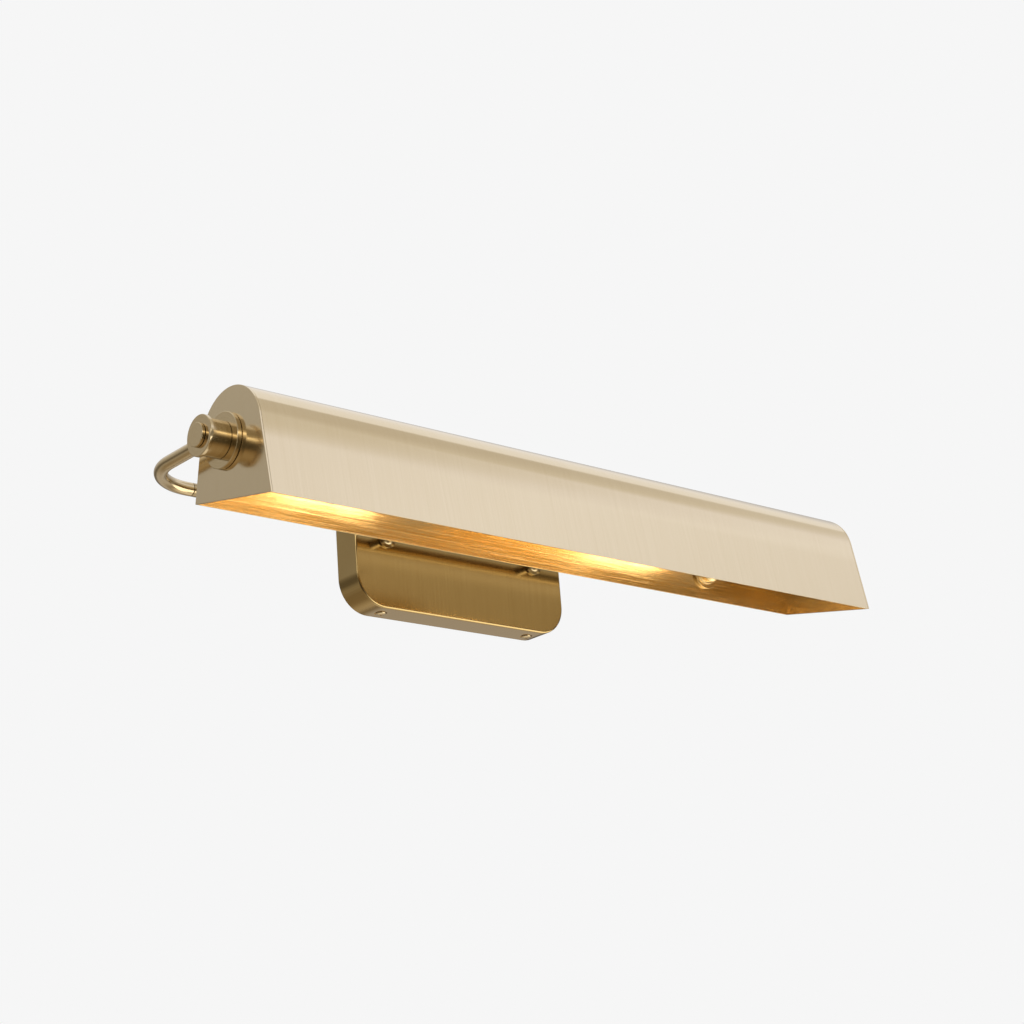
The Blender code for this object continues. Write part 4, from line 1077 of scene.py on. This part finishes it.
def studio_world():
    world = bpy.data.worlds.new("studio")
    world.use_nodes = True
    bpy.context.scene.world = world
    tree = world.node_tree
    link = tree.links.new

    def node(kind, **settings):
        made = tree.nodes.new(kind)
        for key, value in settings.items():
            setattr(made, key, value)
        return made

    def ramp(stops):
        made = node("ShaderNodeValToRGB")
        elements = made.color_ramp.elements
        for place, colour in stops[2:]:
            elements.new(place)
        for element, (place, colour) in zip(elements, stops):
            element.position = place
            element.color = (*colour, 1)
        return made

    def mixed(axis, width, below, above):
        """One part of the room where the axis is negative, the other where it is positive."""
        share = node("ShaderNodeMapRange", interpolation_type="SMOOTHSTEP")
        share.inputs["From Min"].default_value = -width
        share.inputs["From Max"].default_value = width
        link(split.outputs[axis], share.inputs["Value"])
        mix = node("ShaderNodeMix", data_type="RGBA")
        link(share.outputs[0], mix.inputs[0])
        link(below, mix.inputs[6])
        link(above, mix.inputs[7])
        return mix

    way = node("ShaderNodeTexCoord").outputs["Generated"]
    split = node("ShaderNodeSeparateXYZ")
    link(way, split.inputs[0])
    height = node("ShaderNodeMapRange")
    height.inputs["From Min"].default_value = -1
    link(split.outputs["Z"], height.inputs["Value"])
    quarters = [ramp(stops) for stops in (LEFT_SKY, FRONT_SKY, LEFT_BACK_SKY, BACK_SKY)]
    for quarter in quarters:
        link(height.outputs[0], quarter.inputs[0])
    left, right, left_behind, right_behind = [quarter.outputs[0] for quarter in quarters]
    ahead_of = mixed("X", 0.25, left, right)
    back_of = mixed("X", 0.25, left_behind, right_behind)
    room = mixed("Y", 0.025, ahead_of.outputs[2], back_of.outputs[2])
    seen = node("ShaderNodeMix", data_type="RGBA")
    link(node("ShaderNodeLightPath").outputs["Is Camera Ray"], seen.inputs[0])
    link(room.outputs[2], seen.inputs[6])
    seen.inputs[7].default_value = BACKDROP
    link(seen.outputs[2], tree.nodes["Background"].inputs["Color"])


def sky(*stops):
    """Ramp stops from (the sine of the height above the horizon, colour)."""
    return [((height + 1) / 2, colour) for height, colour in stops]


FRONT_SKY = sky(
    (-1.0, (0.50, 0.45, 0.38)), (-0.82, (0.60, 0.54, 0.45)), (-0.74, (2.20, 2.10, 1.90)),
    (-0.30, (2.20, 2.10, 1.90)), (-0.20, (0.30, 0.28, 0.24)), (0.14, (0.26, 0.24, 0.21)),
    (0.33, (0.50, 0.46, 0.40)), (0.44, (0.86, 0.86, 0.93)), (0.53, (0.93, 0.94, 1.04)),
    (0.59, (0.88, 0.88, 0.97)), (0.67, (0.72, 0.69, 0.66)), (0.77, (0.62, 0.58, 0.53)),
    (1.0, (0.60, 0.56, 0.50)),
)
LEFT_SKY = sky(
    (-1.0, (0.50, 0.45, 0.38)), (-0.78, (0.36, 0.29, 0.20)), (-0.66, (0.22, 0.17, 0.11)),
    (-0.52, (0.09, 0.08, 0.06)), (-0.20, (0.09, 0.08, 0.06)), (-0.02, (0.20, 0.17, 0.13)),
    (0.18, (0.90, 0.86, 0.78)), (0.28, (2.40, 2.30, 2.15)), (0.36, (0.80, 0.74, 0.64)),
    (0.46, (0.34, 0.31, 0.26)), (0.85, (0.36, 0.33, 0.29)), (1.0, (0.60, 0.56, 0.50)),
)
BACK_SKY = sky(
    (-1.0, (0.95, 0.90, 0.84)), (-0.80, (0.90, 0.82, 0.72)), (-0.68, (0.80, 0.72, 0.60)),
    (-0.54, (0.26, 0.21, 0.15)), (-0.40, (0.50, 0.46, 0.41)), (-0.24, (0.54, 0.50, 0.45)),
    (-0.05, (0.16, 0.14, 0.11)), (0.12, (0.18, 0.16, 0.13)), (0.28, (0.385, 0.36, 0.325)),
    (0.55, (0.66, 0.65, 0.66)), (0.66, (0.92, 0.92, 0.96)), (1.0, (0.90, 0.90, 0.95)),
)
LEFT_BACK_SKY = sky(
    (-1.0, (0.50, 0.45, 0.38)), (-0.78, (0.36, 0.29, 0.20)), (-0.50, (0.30, 0.24, 0.16)),
    (-0.24, (0.40, 0.36, 0.30)), (-0.05, (0.16, 0.14, 0.11)), (0.12, (0.18, 0.16, 0.13)),
    (0.28, (0.385, 0.36, 0.325)), (0.55, (0.55, 0.53, 0.50)), (0.66, (0.72, 0.71, 0.72)),
    (1.0, (0.82, 0.82, 0.86)),
)
studio_world()
bpy.context.scene.view_settings.view_transform = "Standard"

# %% Floor
FLOOR_DROP = 0.80
bpy.ops.object.select_all(action="DESELECT")
bpy.ops.mesh.primitive_plane_add(size=30, location=(0, 0, -FLOOR_DROP))
floor = named("studio_floor")
paint = Finish("pale_floor", Roughness=0.85)
tone = paint.clamp(paint.noise(paint.place(), 3.0, 4.0), 0.35, 0.65, 0.0, 1.0)
paint.feed("Base Color", paint.blend(tone, (0.88, 0.88, 0.88, 1), (0.92, 0.92, 0.92, 1)))
floor.data.materials.append(paint.material)
floor.visible_glossy = False
